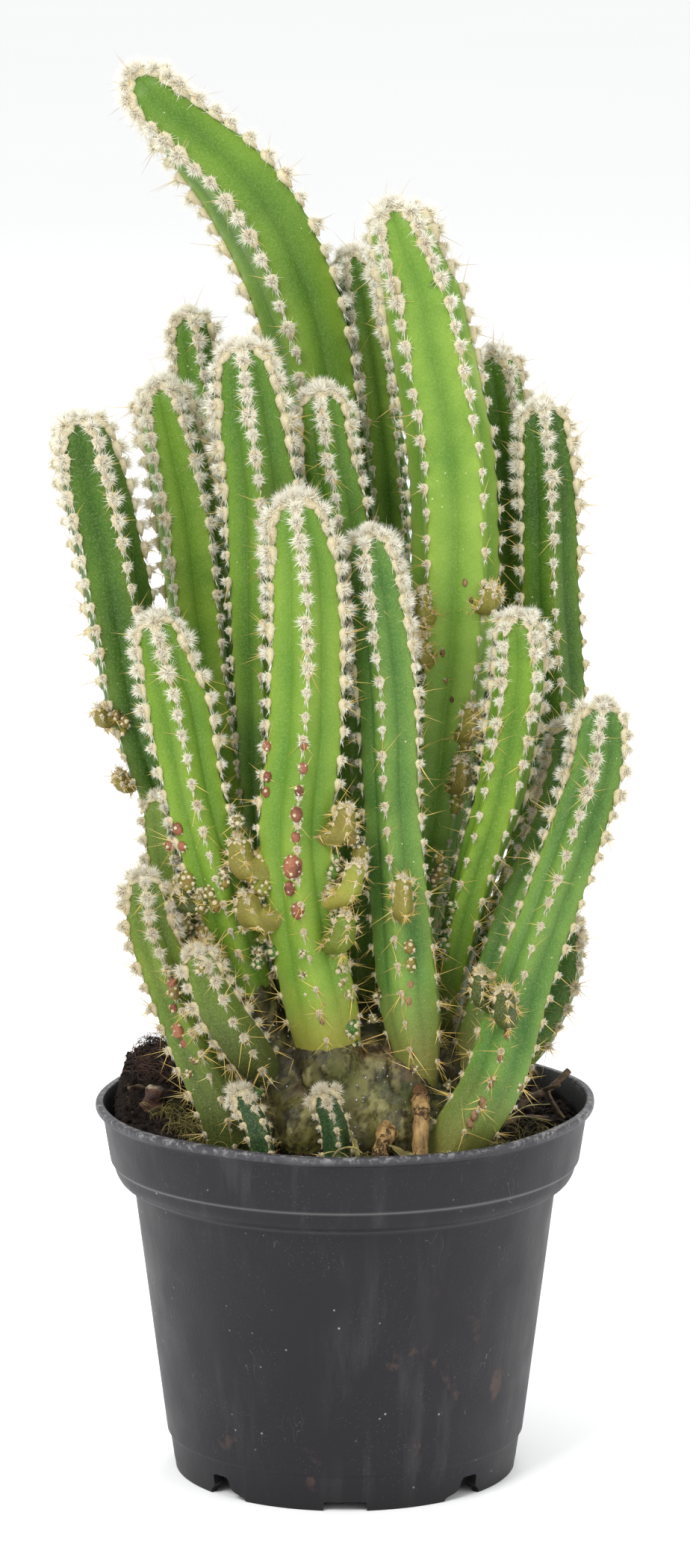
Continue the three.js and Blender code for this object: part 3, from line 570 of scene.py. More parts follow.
def bent_line(tree, steps, start, start_handle, end_handle, end):
    return flow(node(tree, "GeometryNodeCurvePrimitiveBezierSegment", Resolution=steps, Start=start,
                     Start_Handle=start_handle, End_Handle=end_handle, End=end))


def cells_at(tree, scale):
    """How far a point of the geometry is from the middle of its cell."""
    return flow(node(tree, "ShaderNodeTexVoronoi", Vector=position(tree), Scale=scale), "Distance")


def swept(tree, route, section, size, closed=False):
    """A section drawn along a route, as large as the size says at each point."""
    return flow(node(tree, "GeometryNodeCurveToMesh", Curve=route, Profile_Curve=section, Scale=size,
                     Fill_Caps=closed))


def round_section(tree, sides):
    return flow(node(tree, "GeometryNodeCurvePrimitiveCircle", Resolution=sides, Radius=1.0), "Curve")


def round_ball(tree, subdivisions):
    return flow(node(tree, "GeometryNodeMeshIcoSphere", Radius=1.0, Subdivisions=subdivisions), "Mesh")


# Crumbly ground: the marked top of the host is roughened, and crumbs of many sizes lie on it.
LUMP_SCALE = 210.0
LUMP_SHARE = 2.2
CLOD_SCALE = 330.0
CLOD_SHARE = 0.8
LOOSE_ENOUGH = 0.35
CRUMB_FLATNESS = (0.4, 0.9)
CRUMB_HEIGHT = 0.7
ANY_TURN = (6.283, 6.283, 6.283)
tree, given = tree_with("crumbly_ground", Roughness=1.4 * MM, Crumbs=480000.0, Smallest=0.3 * MM,
                        Largest=1.5 * MM, Seed=1, Finish="")
loose = named(tree, "loose")
lumps = noise_at(tree, position(tree), LUMP_SCALE, 5.0, 0.68) - 0.5
clods = cells_at(tree, CLOD_SCALE) - 0.45
lift = (lumps * LUMP_SHARE - clods * CLOD_SHARE) * given["Roughness"] * loose
ground = smoothed(tree, moved(tree, given["Geometry"], Offset=triple(tree, 0.0, 0.0, lift)))
points, _ = strewn_over(tree, ground, "RANDOM", Selection=loose > LOOSE_ENOUGH, Density=given["Crumbs"],
                        Seed=given["Seed"])
small = chance(tree, 0.0, 1.0, given["Seed"] + 1)
size = given["Smallest"] + (given["Largest"] - given["Smallest"]) * small * small * small
flatness = chance(tree, *CRUMB_FLATNESS, given["Seed"] + 2)
any_turn = chance(tree, (0, 0, 0), ANY_TURN, given["Seed"] + 3)
crumb_size = triple(tree, size, size * flatness, size * CRUMB_HEIGHT)
crumbs = copied(tree, points, round_ball(tree, 1), any_turn, crumb_size)
ground_tree = close_tree(tree, joined(tree, ground, crumbs), given["Finish"])

# Strands strewn over a host: each is a bent thread, thicker in its middle. Tilt 0 lays them flat.
THREAD_ENDS = (0.3, 1.0)
tree, given = tree_with("strewn_strands", Amount=300000.0, Shortest=2 * MM, Longest=8 * MM, Bend=0.35,
                        Arch=0.15, Thickness=0.035, Tilt=0.3, Seed=1, Finish="")
points, _ = strewn_over(tree, given["Geometry"], "RANDOM", Density=given["Amount"], Seed=given["Seed"])
first_bend = triple(tree, -0.25, given["Bend"], given["Arch"])
back_bend = triple(tree, 0.15, given["Bend"] * -0.6, given["Arch"] * 1.6)
thread = bent_line(tree, 8, (-0.5, 0.0, 0.0), first_bend, back_bend, (0.5, 0.0, 0.0))
along = flow(node(tree, "GeometryNodeSplineParameter"), "Factor")
slim = (along * math.pi).do("SINE") * (THREAD_ENDS[1] - THREAD_ENDS[0]) + THREAD_ENDS[0]
thread = smoothed(tree, swept(tree, thread, round_section(tree, 4), slim * given["Thickness"], True))
points = store(tree, points, own_chance=chance(tree, 0.0, 1.0, given["Seed"] + 1))
tip_x, tip_y = (chance(tree, -1.0, 1.0, given["Seed"] + k) * given["Tilt"] for k in (2, 3))
spin = chance(tree, 0.0, 2 * math.pi, given["Seed"] + 4)
size = given["Shortest"] + (given["Longest"] - given["Shortest"]) * named(tree, "own_chance")
threads = copied(tree, points, thread, triple(tree, tip_x, tip_y, spin), size)
strand_tree = close_tree(tree, threads, given["Finish"])

peat_paint, tree, shader = material("peat")
earth = mixed(tree, grain(tree, 420.0, 4.0, 0.65).between(0.35, 0.68), srgb(15, 12, 10), srgb(40, 30, 25))
shreds = grain(tree, 800.0, 3.0, 0.6, (1.0, 0.25, 1.0)).between(0.62, 0.7)
earth = layered(tree, earth, (grain(tree, 70.0, 3.0).between(0.5, 0.7) * 0.5, srgb(48, 32, 26)),
                (shreds * 0.5, srgb(104, 80, 58)))
finish_with(tree, shader, Base_Color=earth, Roughness=0.95, Specular_IOR_Level=0.15,
            Normal=bump(tree, grain(tree, 1500.0, 4.0, 0.7), 0.5 * MM))

fibre_paint, tree, shader = material("peat_fibre")
brown = mixed(tree, grain(tree, 300.0, 3.0).between(0.4, 0.6), srgb(32, 22, 19), srgb(78, 53, 40))
finish_with(tree, shader, Base_Color=brown, Roughness=grain(tree, 900.0) * 0.2 + 0.75)

top_rings = np.linspace(0, 1, PEAT_RINGS) ** RINGS_OUTWARD * PEAT_RADIUS
side = [(r - PEAT_ROOM, z) for r, z, _ in POT_INSIDE[:0:-1]]
bevel = (side[0][0] + EDGE_BEVEL[0], EDGE_BEVEL[1])
outline = [(r, PEAT_HEIGHT) for r in top_rings] + [bevel, *side, (0, side[-1][1])]
points, faces = turned(np.array(outline), PEAT_SIDES)
points = np.array(points, float)
on_top = points[:, 2] == PEAT_HEIGHT
points[on_top, 2] = peat_height(points[on_top, 0], points[on_top, 1])
peat_host = add_object("peat_host", solid_mesh("peat_host", points, faces))
edge = np.clip((PEAT_RADIUS - np.hypot(points[:, 0], points[:, 1])) / EDGE_SLOPE, 0, 1)
loose = (on_top * (FIRMED_EDGE + (1 - FIRMED_EDGE) * edge)).astype(np.float32)
peat_host.data.attributes.new("loose", "FLOAT", "POINT").data.foreach_set("value", loose)
hand_over(run_tree(ground_tree, peat_host, "peat_ground", Seed=3, Finish=peat_paint), "peat", "peat")
bpy.data.objects.remove(peat_host)


def patch(name, x, y, reach, rise=0.0):
    """A round patch of the peat's surface, to strew things on."""
    n = PATCH_STEPS
    steps = np.linspace(-1, 1, n) * reach
    across, along = (g.ravel() for g in np.meshgrid(steps, steps))
    kept = (np.hypot(across, along) <= reach) & (np.hypot(across + x, along + y) < PEAT_RADIUS - 1)
    corners = np.stack([across + x, along + y, peat_height(across + x, along + y) + rise], axis=1)
    starts = [i * n + j for i in range(n - 1) for j in range(n - 1)]
    squares = [(k, k + 1, k + n + 1, k + n) for k in starts]
    return add_object(name, solid_mesh(name, corners, [s for s in squares if all(kept[c] for c in s)]))


def merge(pieces, name):
    """Makes one object of several."""
    with bpy.context.temp_override(active_object=pieces[0], selected_editable_objects=pieces):
        bpy.ops.object.join()
    pieces[0].name = name
    return pieces[0]


# Woody fibres all over, and thick on the clod, where they stand up in a red-brown felt: each
# layer of the felt has its own bend and arch.
FELT_LAYERS = [(0.4, 0.3), (-0.3, 0.5), (0.1, 0.2)]
FELT_SEED = 11
whole = patch("whole_top", 0, 0, 47)
clod = patch("clod_top", CLOD["x"] + 1, CLOD["y"], 13, 0.5)
fibres = [run_tree(strand_tree, whole, "fibres", Amount=60000.0, Seed=5, Finish=fibre_paint)]
for k, (bend, arch) in enumerate(FELT_LAYERS):
    fibres.append(run_tree(
        strand_tree, clod, "clod_fibres", Amount=900000.0, Shortest=1.5 * MM, Longest=5 * MM, Bend=bend,
        Arch=arch, Thickness=0.045, Tilt=1.2, Seed=FELT_SEED + k, Finish=fibre_paint))
for host in (whole, clod):
    bpy.data.objects.remove(host)
hand_over(merge(fibres, "peat_fibres"), "peat")

# ---- Crown ----------------------------------------------------------------------------------
# The old base of the plant: corky joints grown together into one lumpy grey olive mound, partly see-through
# like horn. Its skin carries painted highlights on the tops of its folds, painted shade in its creases and
# painted glints. Two tan roots hang from its front and go down into the peat.

# The mound before its joints: [height, radius] in millimetres.
CROWN_LEVELS = [(63, 22), (70, 27), (78, 30.5), (86, 30), (93, 26.5), (98, 20), (100.5, 10), (101, 0)]
CROWN_CENTRE = (0.0, -4.0)
CROWN_FLATTENING = 0.93
CROWN_SIDES = 96
CROWN_VOXEL = 0.6 * MM
CROWN_SMOOTHING = 9

# Old joints that swell out of the mound: [x, y, z, radius] in millimetres.
CROWN_JOINTS = [
    [-3, -23, 90, 8.5], [-12, -22, 88, 8], [8.5, -25, 83, 8], [13.5, -22, 92, 6.5], [-16, -19, 96, 6.2],
    [-8, -28, 80, 7], [2, -28, 76, 7], [15, -27, 78, 7.5], [20, -17, 90, 7], [-21, -13, 88, 7.5],
    [22, -3, 92, 7], [-16.3, -16.5, 95, 5.8], [-17, -18, 99, 5.6], [-18.3, -19.5, 103, 5.4],
    [-19, -20.5, 106.5, 5.1], [-3.4, -24, 91.5, 8.4], [12.5, -26, 88, 6.4], [10.5, -29.5, 79, 7],
    [-22, 4, 90, 7.5], [-12, 9, 94, 7], [-2, 12, 95, 7], [8, 13, 94, 7], [17, 10, 93, 7],
    [-1, -8, 99, 7], [10, -6, 99, 7], [-11, -6, 98, 7], [-14, 18, 82, 8], [4, 22, 80, 8], [19, 17, 80, 8],
]
JOINT_STRETCH = 1.15

# The two hanging roots: [x, y, z, radius] in millimetres.
AIR_ROOTS = [
    [[9, -28, 80, 2], [9.4, -33, 81.5, 2.1], [7.8, -38.5, 79, 2], [6.5, -42, 72, 1.6]],
    [[14.6, -27, 87, 1.6], [15.2, -31.5, 87.5, 1.8], [15.6, -37, 83, 1.6], [15.2, -41.5, 72, 1.5]],
]
ROUTE_STEPS = 10


def smooth_route(points):
    """The route as a string of points on a Catmull-Rom curve, in metres, with its radii."""
    p = np.array(points, float) * MM
    ends = np.vstack([2 * p[0] - p[1], p, 2 * p[-1] - p[-2]])
    t = np.arange(ROUTE_STEPS)[:, None] / ROUTE_STEPS
    pieces = []
    for a, b, c, d in zip(ends, ends[1:], ends[2:], ends[3:]):
        start, stop = (c - a) / 2, (d - b) / 2
        curve = b + start * t + (3 * (c - b) - 2 * start - stop) * t**2 + (2 * (b - c) + start + stop) * t**3
        curve[:, 3:] = b[3] + (c[3] - b[3]) * t
        pieces.append(curve)
    return np.vstack([*pieces, p[-1:]])


def host_of(name, line, edges, label):
    """Points, and the edges between them, that know their fourth number by this label."""
    mesh = bpy.data.meshes.new(name)
    mesh.from_pydata(line[:, :3].tolist(), edges, [])
    mesh.attributes.new(label, "FLOAT", "POINT").data.foreach_set("value", line[:, 3].astype(np.float32))
    return add_object(name, mesh)


def route_host(name, line):
    """The route as a string of edges whose points know the radius there."""
    return host_of(name, line, [(k, k + 1) for k in range(len(line) - 1)], "girth")


def route_of(tree, given):
    return flow(node(tree, "GeometryNodeMeshToCurve", Mesh=given["Geometry"]))


def facing(tree):
    return flow(node(tree, "GeometryNodeInputNormal"))


# A knobbly round body along the host's route, such as a root, a twig or a stick.
tree, given = tree_with("knobbly_tube", Sides=14, Knobs=0.25 * MM, Knob_Scale=300.0, Finish="")
tube = swept(tree, route_of(tree, given), round_section(tree, given["Sides"]), named(tree, "girth"), True)
knobs = noise_at(tree, position(tree), given["Knob_Scale"], 3.0) - 0.5
tube = smoothed(tree, moved(tree, tube, Offset=facing(tree) * (knobs * 3.0 * given["Knobs"])))
tube_tree = close_tree(tree, tube, given["Finish"])


def along_routes(tree, name, routes, **inputs):
    """One piece of what the tree makes along each of these routes."""
    made = []
    for points in routes:
        host = route_host(name + "_route", smooth_route(points))
        made.append(run_tree(tree, host, name, **inputs))
        bpy.data.objects.remove(host)
    return merge(made, name)


# The mound and its joints run into each other. Their skin is wrinkled in fine folds that run down
# and round the joints, and remembers how high each fold stands and where a crease runs.
FOLD_SCALE = 330.0
FOLD_STRETCH = (1.0, 1.0, 0.45)
FOLD_WARP = 0.011
WARP_SCALE = 90.0
LUMPS_SCALE = 120.0
CREASE_WIDTH = 0.07
CREASE_STEEPNESS = 5.0
tree, given = tree_with("wrinkled", Folds=1.0 * MM, Lumps=1.8 * MM, Finish="")
warp = noise_at(tree, position(tree), WARP_SCALE, 3.0, output="Color") * FOLD_WARP
folds = noise_at(tree, (position(tree) + warp) * FOLD_STRETCH, FOLD_SCALE, 4.0, 0.62) - 0.5
creases = (folds.do("ABSOLUTE") * -1.0 + CREASE_WIDTH).do("MAXIMUM", 0.0) * CREASE_STEEPNESS
lumps = noise_at(tree, position(tree), LUMPS_SCALE) - 0.5
lift = (folds - creases) * given["Folds"] + lumps * given["Lumps"]
mound = moved(tree, given["Geometry"], Offset=facing(tree) * lift)
mound = smoothed(tree, store(tree, mound, fold=folds, crease=creases))
wrinkle_tree = close_tree(tree, mound, given["Finish"])

cork, tree, shader = material("corky_crown")
olive = mixed(tree, grain(tree, 85.0, 4.0, 0.6).between(0.38, 0.6), srgb(44, 39, 20), srgb(104, 99, 52))
# Tiny pale dots of painted glint, which also raise the bump.
painted_glints = cells(tree, 620.0).between(0.18, 0.07) * grain(tree, 110.0).between(0.5, 0.58)
tint = layered(
    tree, olive,
    (grain(tree, 48.0, 3.0).between(0.48, 0.62) * 0.75, srgb(74, 84, 30)),
    (grain(tree, 70.0, 3.0, 0.6).between(0.56, 0.68) * 0.7, srgb(84, 58, 38)),
    # Painted highlight on the tops of the folds, and painted shade in the creases.
    (attribute(tree, "fold").between(0.02, 0.2) * 0.55, srgb(150, 140, 94)),
    (attribute(tree, "crease").between(0.05, 0.34) * 0.75, srgb(26, 20, 12)),
    (grain(tree, 150.0, 4.0).between(0.48, 0.34) * 0.7, srgb(22, 18, 11)),
    # Painted glints.
    (painted_glints * 0.9, srgb(222, 220, 214)))
relief = grain(tree, 900.0, 4.0, 0.6, (1.0, 1.0, 0.5)) + painted_glints
finish_with(tree, shader, Base_Color=tint, Roughness=grain(tree, 260.0) * 0.3 + 0.3, Specular_IOR_Level=0.3,
            Normal=bump(tree, relief, 0.4 * MM))

levels = smooth_route([[r, 0, z, 1] for z, r in CROWN_LEVELS])[:, [0, 2]] / MM
outline = np.vstack([[0, CROWN_LEVELS[0][0]], levels])
points, faces = turned(outline, CROWN_SIDES)
points = np.array(points) * (1, CROWN_FLATTENING, 1) + (*CROWN_CENTRE, 0)
crown = add_object("crown", solid_mesh("crown", points, faces))
work = bmesh.new()
work.from_mesh(crown.data)
for x, y, z, radius in CROWN_JOINTS:
    place = Matrix.Translation(Vector((x, y, z)) * MM) @ Matrix.Diagonal((1.0, 1.0, JOINT_STRETCH, 1.0))
    bmesh.ops.create_icosphere(work, subdivisions=4, radius=radius * MM, matrix=place)
work.to_mesh(crown.data)
work.free()
remesh = crown.modifiers.new("remesh", "REMESH")
remesh.mode = "VOXEL"
remesh.voxel_size = CROWN_VOXEL
smooth = crown.modifiers.new("smooth", "SMOOTH")
smooth.iterations = CROWN_SMOOTHING
plain_mesh(crown)
corky_crown = run_tree(wrinkle_tree, crown, "corky_crown", ("fold", "crease"), Finish=cork)
bpy.data.objects.remove(crown)
hand_over(corky_crown, "corky_crown", "crown")

root_bark, tree, shader = material("air_roots")
drawn_out = (1.0, 1.0, 0.3)
patches = grain(tree, 300.0, 4.0, 0.6, drawn_out).between(0.38, 0.6)
tan = mixed(tree, patches, srgb(96, 70, 40), srgb(170, 140, 88))
cracks = (grain(tree, 380.0, 4.0, 0.6, (1.0, 1.0, 0.7)) - 0.48).hump(0.022)
cracks = cracks * grain(tree, 160.0).between(0.4, 0.52)
tan = layered(tree, tan, (grain(tree, 130.0).between(0.5, 0.62) * 0.6, srgb(74, 44, 30)),
              (cracks * 0.9, srgb(52, 26, 18)))
finish_with(tree, shader, Base_Color=tan, Roughness=0.6, Specular_IOR_Level=0.3,
            Normal=bump(tree, grain(tree, 700.0, 4.0, 0.6, drawn_out) - cracks, 0.5 * MM))
air_roots = along_routes(tube_tree, "air_roots", AIR_ROOTS, Sides=28, Knobs=1.0 * MM, Finish=root_bark)
hand_over(air_roots, "air_roots")

# ---- Twig -----------------------------------------------------------------------------------
# A dry twig that was in the potting mix, forked near its end. It leans out of the peat toward
# the lip at the right, and nothing holds it but the peat.

# The twig and its fork: [x, y, z, radius] in millimetres.
TWIG = [
    [[33, 1, 72, 0.9], [38, 5, 77.5, 0.8], [43, 8.5, 79, 0.7], [47.5, 11.5, 82.5, 0.7]],
    [[42, 7.8, 79, 0.5], [43.5, 6.8, 80, 0.45], [45.5, 6.4, 80.6, 0.3]],
]
TWIG_KNOB_SCALE = 420.0
twig_bark, tree, shader = material("twig")
bark_grain = grain(tree, 500.0, 4.0, 0.6, (0.4, 1.0, 1.0)).between(0.38, 0.62)
bark_relief = grain(tree, 1200.0, 4.0, 0.6, (0.3, 1.0, 1.0))
finish_with(tree, shader, Base_Color=mixed(tree, bark_grain, srgb(46, 34, 26), srgb(112, 92, 68)),
            Roughness=0.85, Normal=bump(tree, bark_relief, 0.3 * MM))
twig = along_routes(tube_tree, "dry_twig", TWIG, Sides=12, Knobs=0.14 * MM, Knob_Scale=TWIG_KNOB_SCALE,
                    Finish=twig_bark)
hand_over(twig, "twig", "twig")

# ---- Stems ----------------------------------------------------------------------------------
# Each stem is a fleshy column with sharp ribs. Its areoles sit on the rib edges, crowded at the
# tip and wider apart below, and each bears a tuft of cream wool and a few golden spines.

# From foot to where the tip rounds over: [x, y, z, radius over the ribs] in millimetres.
STEMS = {
    "stem_tall_leaning": dict(ribs=4, turn=-17, twist=-30, skin="inner", route=[
        [-0.5, 5, 92, 4.8], [-1.5, 7, 130, 5.8], [-3, 11, 165, 6.8], [-4, 14, 199.5, 7.8],
        [-5.3, 16, 221.5, 8.6], [-9.8, 18, 244.5, 9.8], [-19.5, 20, 265.5, 10],
        [-32, 21.5, 280, 8.2], [-39.5, 22, 288, 6.8]]),
    "stem_broad": dict(ribs=5, turn=36, skin="broad", route=[
        [11.5, -5, 92, 4.6], [13.5, -4.5, 108, 4.8], [17, -3.5, 130, 5.8], [20, -3, 155, 7.8],
        [22.5, -1, 184.5, 10], [22, 1, 214, 9.8], [16.5, 3, 245, 9], [15, 3.5, 250.5, 8.2],
        [11.5, 4, 261, 6.8]]),
    "stem_back_middle": dict(ribs=6, turn=-20, skin="inner", route=[
        [6, 13, 92, 4.4], [7.5, 15, 120, 4.8], [9, 20, 150, 5.2], [9, 25, 182, 5.4], [8, 27, 207, 5.6],
        [4.5, 28.5, 234.5, 6], [2, 29.5, 250, 5]]),
    "stem_back_right": dict(ribs=5, turn=30, skin="inner", route=[
        [16, 11, 92, 4.2], [19, 11, 105, 4.6], [29, 13, 130, 5.2], [34, 18, 162, 5.8],
        [35, 22, 189, 6], [34.5, 23, 206, 6.6], [33.5, 23.5, 215, 6.6], [31.5, 24, 229, 5.6]]),
    "stem_right": dict(ribs=5, turn=8, skin="green", route=[
        [22, 1, 92, 4.2], [26, 2, 104, 4.4], [36, 5, 122, 5.4], [42, 9, 143, 6],
        [44.5, 10, 160.5, 6.2], [42.6, 8, 186.5, 6.6], [42, 8, 207.5, 6.4], [41, 8, 220.5, 5.4]]),
    "stem_centre": dict(ribs=5, turn=0, skin="inner", route=[
        [2.5, -8, 92, 4], [2.5, -7, 115, 4.2], [1.5, -4.5, 145, 4.4], [0.5, -3, 171, 5.2],
        [-1, -5, 202.5, 6.2], [-3.5, -5.5, 216, 5.8], [-4.5, -6, 225.5, 5.2]]),
    "stem_front_bright": dict(ribs=5, turn=0, skin="bright", route=[
        [-3, -21, 90.5, 5.4], [-3.4, -23.5, 97, 7], [-4.6, -25, 104, 7.8], [-7.5, -27, 119, 8],
        [-10, -29, 141.5, 8.2], [-8, -28, 166, 8.2], [-8, -25.5, 194, 7.6], [-9.5, -25, 205, 5.8]]),
    "stem_front_slim": dict(ribs=5, turn=56, skin="blue_green", route=[
        [15.3, -24.5, 86, 3.4], [15.3, -26.5, 92, 4.2], [14.7, -26.5, 98, 5.4],
        [13.7, -26, 105, 6.6], [12, -25, 122, 6.8], [10, -24, 146.5, 6.4], [9, -22, 171, 6.8],
        [7, -20.5, 188, 6.4], [5.5, -20, 198, 5.2]]),
    "stem_left": dict(ribs=5, turn=30, skin="green", route=[
        [-23.5, 5, 92, 4.2], [-28, 4, 112, 4.6], [-35, 0, 136, 5.6], [-43, -7, 163.5, 7.2],
        [-47.3, -8, 189, 7.6], [-51.2, -8, 208, 7.6], [-53.6, -8, 219, 6.2]]),
    "stem_left_inner": dict(ribs=5, turn=36, skin="fresh", route=[
        [-13.5, 9, 92, 4.2], [-20, 9, 120, 5.2], [-26, 7, 150, 5.8], [-30, 6, 179, 7.2],
        [-32.5, 6, 201, 7.6], [-35.5, 6, 216, 6.8], [-37.5, 6, 225, 5.6]]),
    "stem_left_front": dict(ribs=5, turn=2, skin="fresh", route=[
        [-16, -14.5, 92, 4], [-19.6, -21, 109, 4.8], [-25.5, -26, 130, 6.4],
        [-30.5, -27, 149, 6.4], [-34, -26, 167, 7], [-35.5, -25.5, 172.5, 6.4],
        [-38, -24.5, 181.5, 4.8]]),
    "stem_left_centre": dict(ribs=5, turn=0, skin="inner", route=[
        [-11.5, -6, 92, 4.2], [-14, -6, 115, 4.4], [-16.5, -7, 143, 5.2], [-17, -9, 179.5, 7],
        [-17, -9, 206, 8], [-19, -9, 224, 7.4], [-20.5, -9, 234.5, 5.8]]),
    "stem_back_left": dict(ribs=5, turn=20, skin="inner", route=[
        [-4, 15, 92, 4.2], [-7, 15.5, 105, 4.2], [-18, 19.2, 130, 4.8], [-25, 20, 165, 5.4],
        [-28.5, 24, 206, 6], [-31, 25.5, 225.5, 5.6], [-32.5, 26, 238, 4.6]]),
    "stem_right_front": dict(ribs=5, turn=34, skin="fresh", route=[
        [20, -9.5, 92, 4], [21, -11, 104, 4], [26.5, -17, 129.5, 4.6], [32, -20, 149, 5.6],
        [35.5, -19.5, 171.5, 5.8], [35.5, -18.5, 181, 4.8]]),
    "stem_right_curved": dict(ribs=5, turn=-8, skin="blue_green", route=[
        [18.5, -31, 71, 5.2], [23.5, -31.5, 79, 6.2], [31, -32, 92, 6.6], [36.5, -30, 110.5, 6.4],
        [43.5, -27, 130, 6.2], [51, -23.5, 152, 6.2], [52.5, -22.5, 162.5, 5.4]]),
    "stem_right_shaded": dict(ribs=5, turn=12, skin="blue_green", route=[
        [23, -18.5, 86, 4], [28, -17.5, 100, 4.2], [35, -14, 122.5, 4.6], [42, -11, 138, 5.2],
        [45, -9.5, 148.5, 5.2], [46.3, -8.5, 157, 4.4]]),
    "stem_low_left": dict(ribs=4, turn=20, skin="olive", route=[
        [-25, -11, 88, 3.8], [-29, -16, 107, 4], [-34, -17.5, 120.5, 4.4], [-36.5, -18, 134.5, 4.6],
        [-38, -18, 144, 4]]),
    "stem_low_outer": dict(ribs=5, turn=10, skin="olive", route=[
        [-22, -29, 69, 4.6], [-24.5, -29.5, 82, 5.4], [-31, -30, 98.5, 5.8], [-39.5, -30, 120.5, 5.2],
        [-41, -30, 129.5, 4.2]]),
    "stem_low_front": dict(ribs=4, turn=30, skin="olive", route=[
        [-16.5, -23.5, 91, 3.4], [-17.6, -29.5, 93.5, 4.2], [-20.8, -35.5, 99.5, 4.6],
        [-26.2, -39.5, 108.5, 4.8], [-29.5, -39.5, 116.5, 3.6]]),
    "stem_low_right": dict(ribs=4, turn=40, skin="green", route=[
        [28, -11, 85, 3.2], [33.5, -12.5, 89, 3.8], [39.5, -14.5, 96.5, 4.4],
        [44.5, -15, 108, 4.8], [46, -14, 117.5, 4]]),
    "stem_rear_left": dict(ribs=5, turn=15, skin="inner", route=[
        [-22, 22, 72, 3.8], [-25, 24, 95, 4.8], [-33, 26, 125, 6], [-37.5, 27, 144, 6.2],
        [-41, 26.5, 162, 5]]),
    "stem_rear_middle": dict(ribs=5, turn=30, skin="bright", route=[
        [0, 24, 72, 3.8], [-1, 27, 95, 4.8], [-3, 33, 125, 6.2], [-4, 36, 155, 6.6],
        [-3.5, 37, 174, 6.2], [-2.5, 36.5, 189, 5]]),
    "stem_rear_right": dict(ribs=5, turn=0, skin="inner", route=[
        [18, 23, 72, 3.6], [20, 26, 95, 4.6], [23, 30, 120, 5.8], [24.5, 32.5, 141, 6.2],
        [26, 33.5, 162, 5]]),
    "stem_rear_low": dict(ribs=4, turn=20, skin="olive", route=[
        [8, 31, 70, 3.4], [11, 35, 88, 4], [15.5, 39, 105, 4.4], [18.5, 40.5, 119, 3.4]]),
    "pup_rear_left": dict(ribs=4, turn=0, skin="pup", route=[
        [-12, 31, 71, 3], [-13, 34, 84, 3.4], [-15, 37.5, 98, 3]]),
    "pup_rear_right": dict(ribs=4, turn=25, skin="pup", route=[
        [32, 9.5, 71, 3], [35, 11.5, 84, 3.4], [38, 13, 96, 2.8]]),
    "pup_front": dict(ribs=4, turn=10, skin="pup", route=[
        [-1.5, -39.5, 70, 3], [-2, -40, 82, 3.1], [-4, -40.5, 88.5, 2.6]]),
    "pup_front_left": dict(ribs=4, turn=40, skin="pup", route=[
        [-15.5, -40, 70, 2.8], [-18, -41, 83, 3], [-21, -41.5, 89, 2.2]]),
}

# Side shoots out of a stem's rib: the height of the root, the angle round the stem from the
# front, length and radius, how far the shoot leans out for each step up, and its skin.
SHOOTS = {
    "stem_front_bright": [
        (140, 62, 7, 2.7, 0.3, "bud"),
        (127, 58, 9.5, 2.7, 0.45, "bright"),
        (119, 40, 7, 3, 0.35, "fresh"),
        (133, -76, 7.5, 3.3, 0.35, "bud"),
        (124, -66, 6.5, 3.3, 0.5, "bud"),
    ],
    "stem_front_slim": [(124, 0, 9, 2.4, 0.05, "bud")],
    "stem_right_curved": [
        (104, -62, 6.5, 2.3, 0.1, "olive"),
        (102, -12, 7, 2.6, 0.15, "olive"),
    ],
    "stem_broad": [
        (183, 38, 4.5, 2.3, 0.3, "bud"),
        (181, -36, 6, 2.2, 0.15, "bud"),
        (172, -36, 6, 2.2, 0.15, "bud"),
        (156, 34, 7, 2.3, 0.15, "bud"),
        (147, 34, 7, 2.3, 0.15, "bud"),
    ],
    "stem_left": [
        (162, -50, 3.5, 2, 0.5, "bud"),
        (147, -58, 3.5, 1.9, 0.5, "bud"),
    ],
    "stem_left_front": [
        (127, -62, 5.5, 2.3, 0.6, "olive"),
        (116, -48, 5, 2.3, 0.5, "bud"),
    ],
    "stem_rear_middle": [(128, 150, 8, 2.9, 0.5, "bright")],
    "stem_rear_left": [(112, 200, 7, 2.7, 0.5, "bud")],
}

# A shoot stands on its root, turns up at the knee and ends: depth of the root in the stem and
# way out of the knee as shares of a radius, then shares of its length and of its girth.
SHOOT_RIBS = 4
SHOOT_TURN = 15
SHOOT_ROOT_DEPTH = 0.5
SHOOT_KNEE_OUT = 0.6
SHOOT_STEPS = (0.3, 0.55)
SHOOT_GIRTH = (0.75, 1.0, 0.8)

# The tip is a dome, this high and this long over its arc as shares of its radius. A stem's twist
# gathers in its last part. Rows of areoles draw apart away from the tip, start at another place
# on each rib, and stray a little along and across it.
DOME_HEIGHT = 0.85
DOME_ARC = 1.455
TWIST_POWER = 12.0
AREOLE_POWER = 1.25
ROW_STEP = (0.618, 0.37)
ROW_JITTER = 0.08
RIB_JITTER = 0.035
FIRST_ROW = 0.12
AREOLE_SINK = 0.1 * MM
WANDER_SCALE = 60.0
TO_MM = 1000.0

# The ribs' section goes from 0 at the crest to 1 in the valley, and its points are gathered at
# both. Its sizes are shares of that way across and of the rib's radius outward. The first ring
# of points keeps a little room round the tip.
POINTS_GATHERED = 0.09
FACE_FULLNESS = 0.035
GROOVE_WIDTH = 0.16
GROOVE_DEPTH = 0.016
CREST_WIDTH = 0.22
FOOT_VALLEY = 0.96
TIP_ROOM = 0.2 * MM


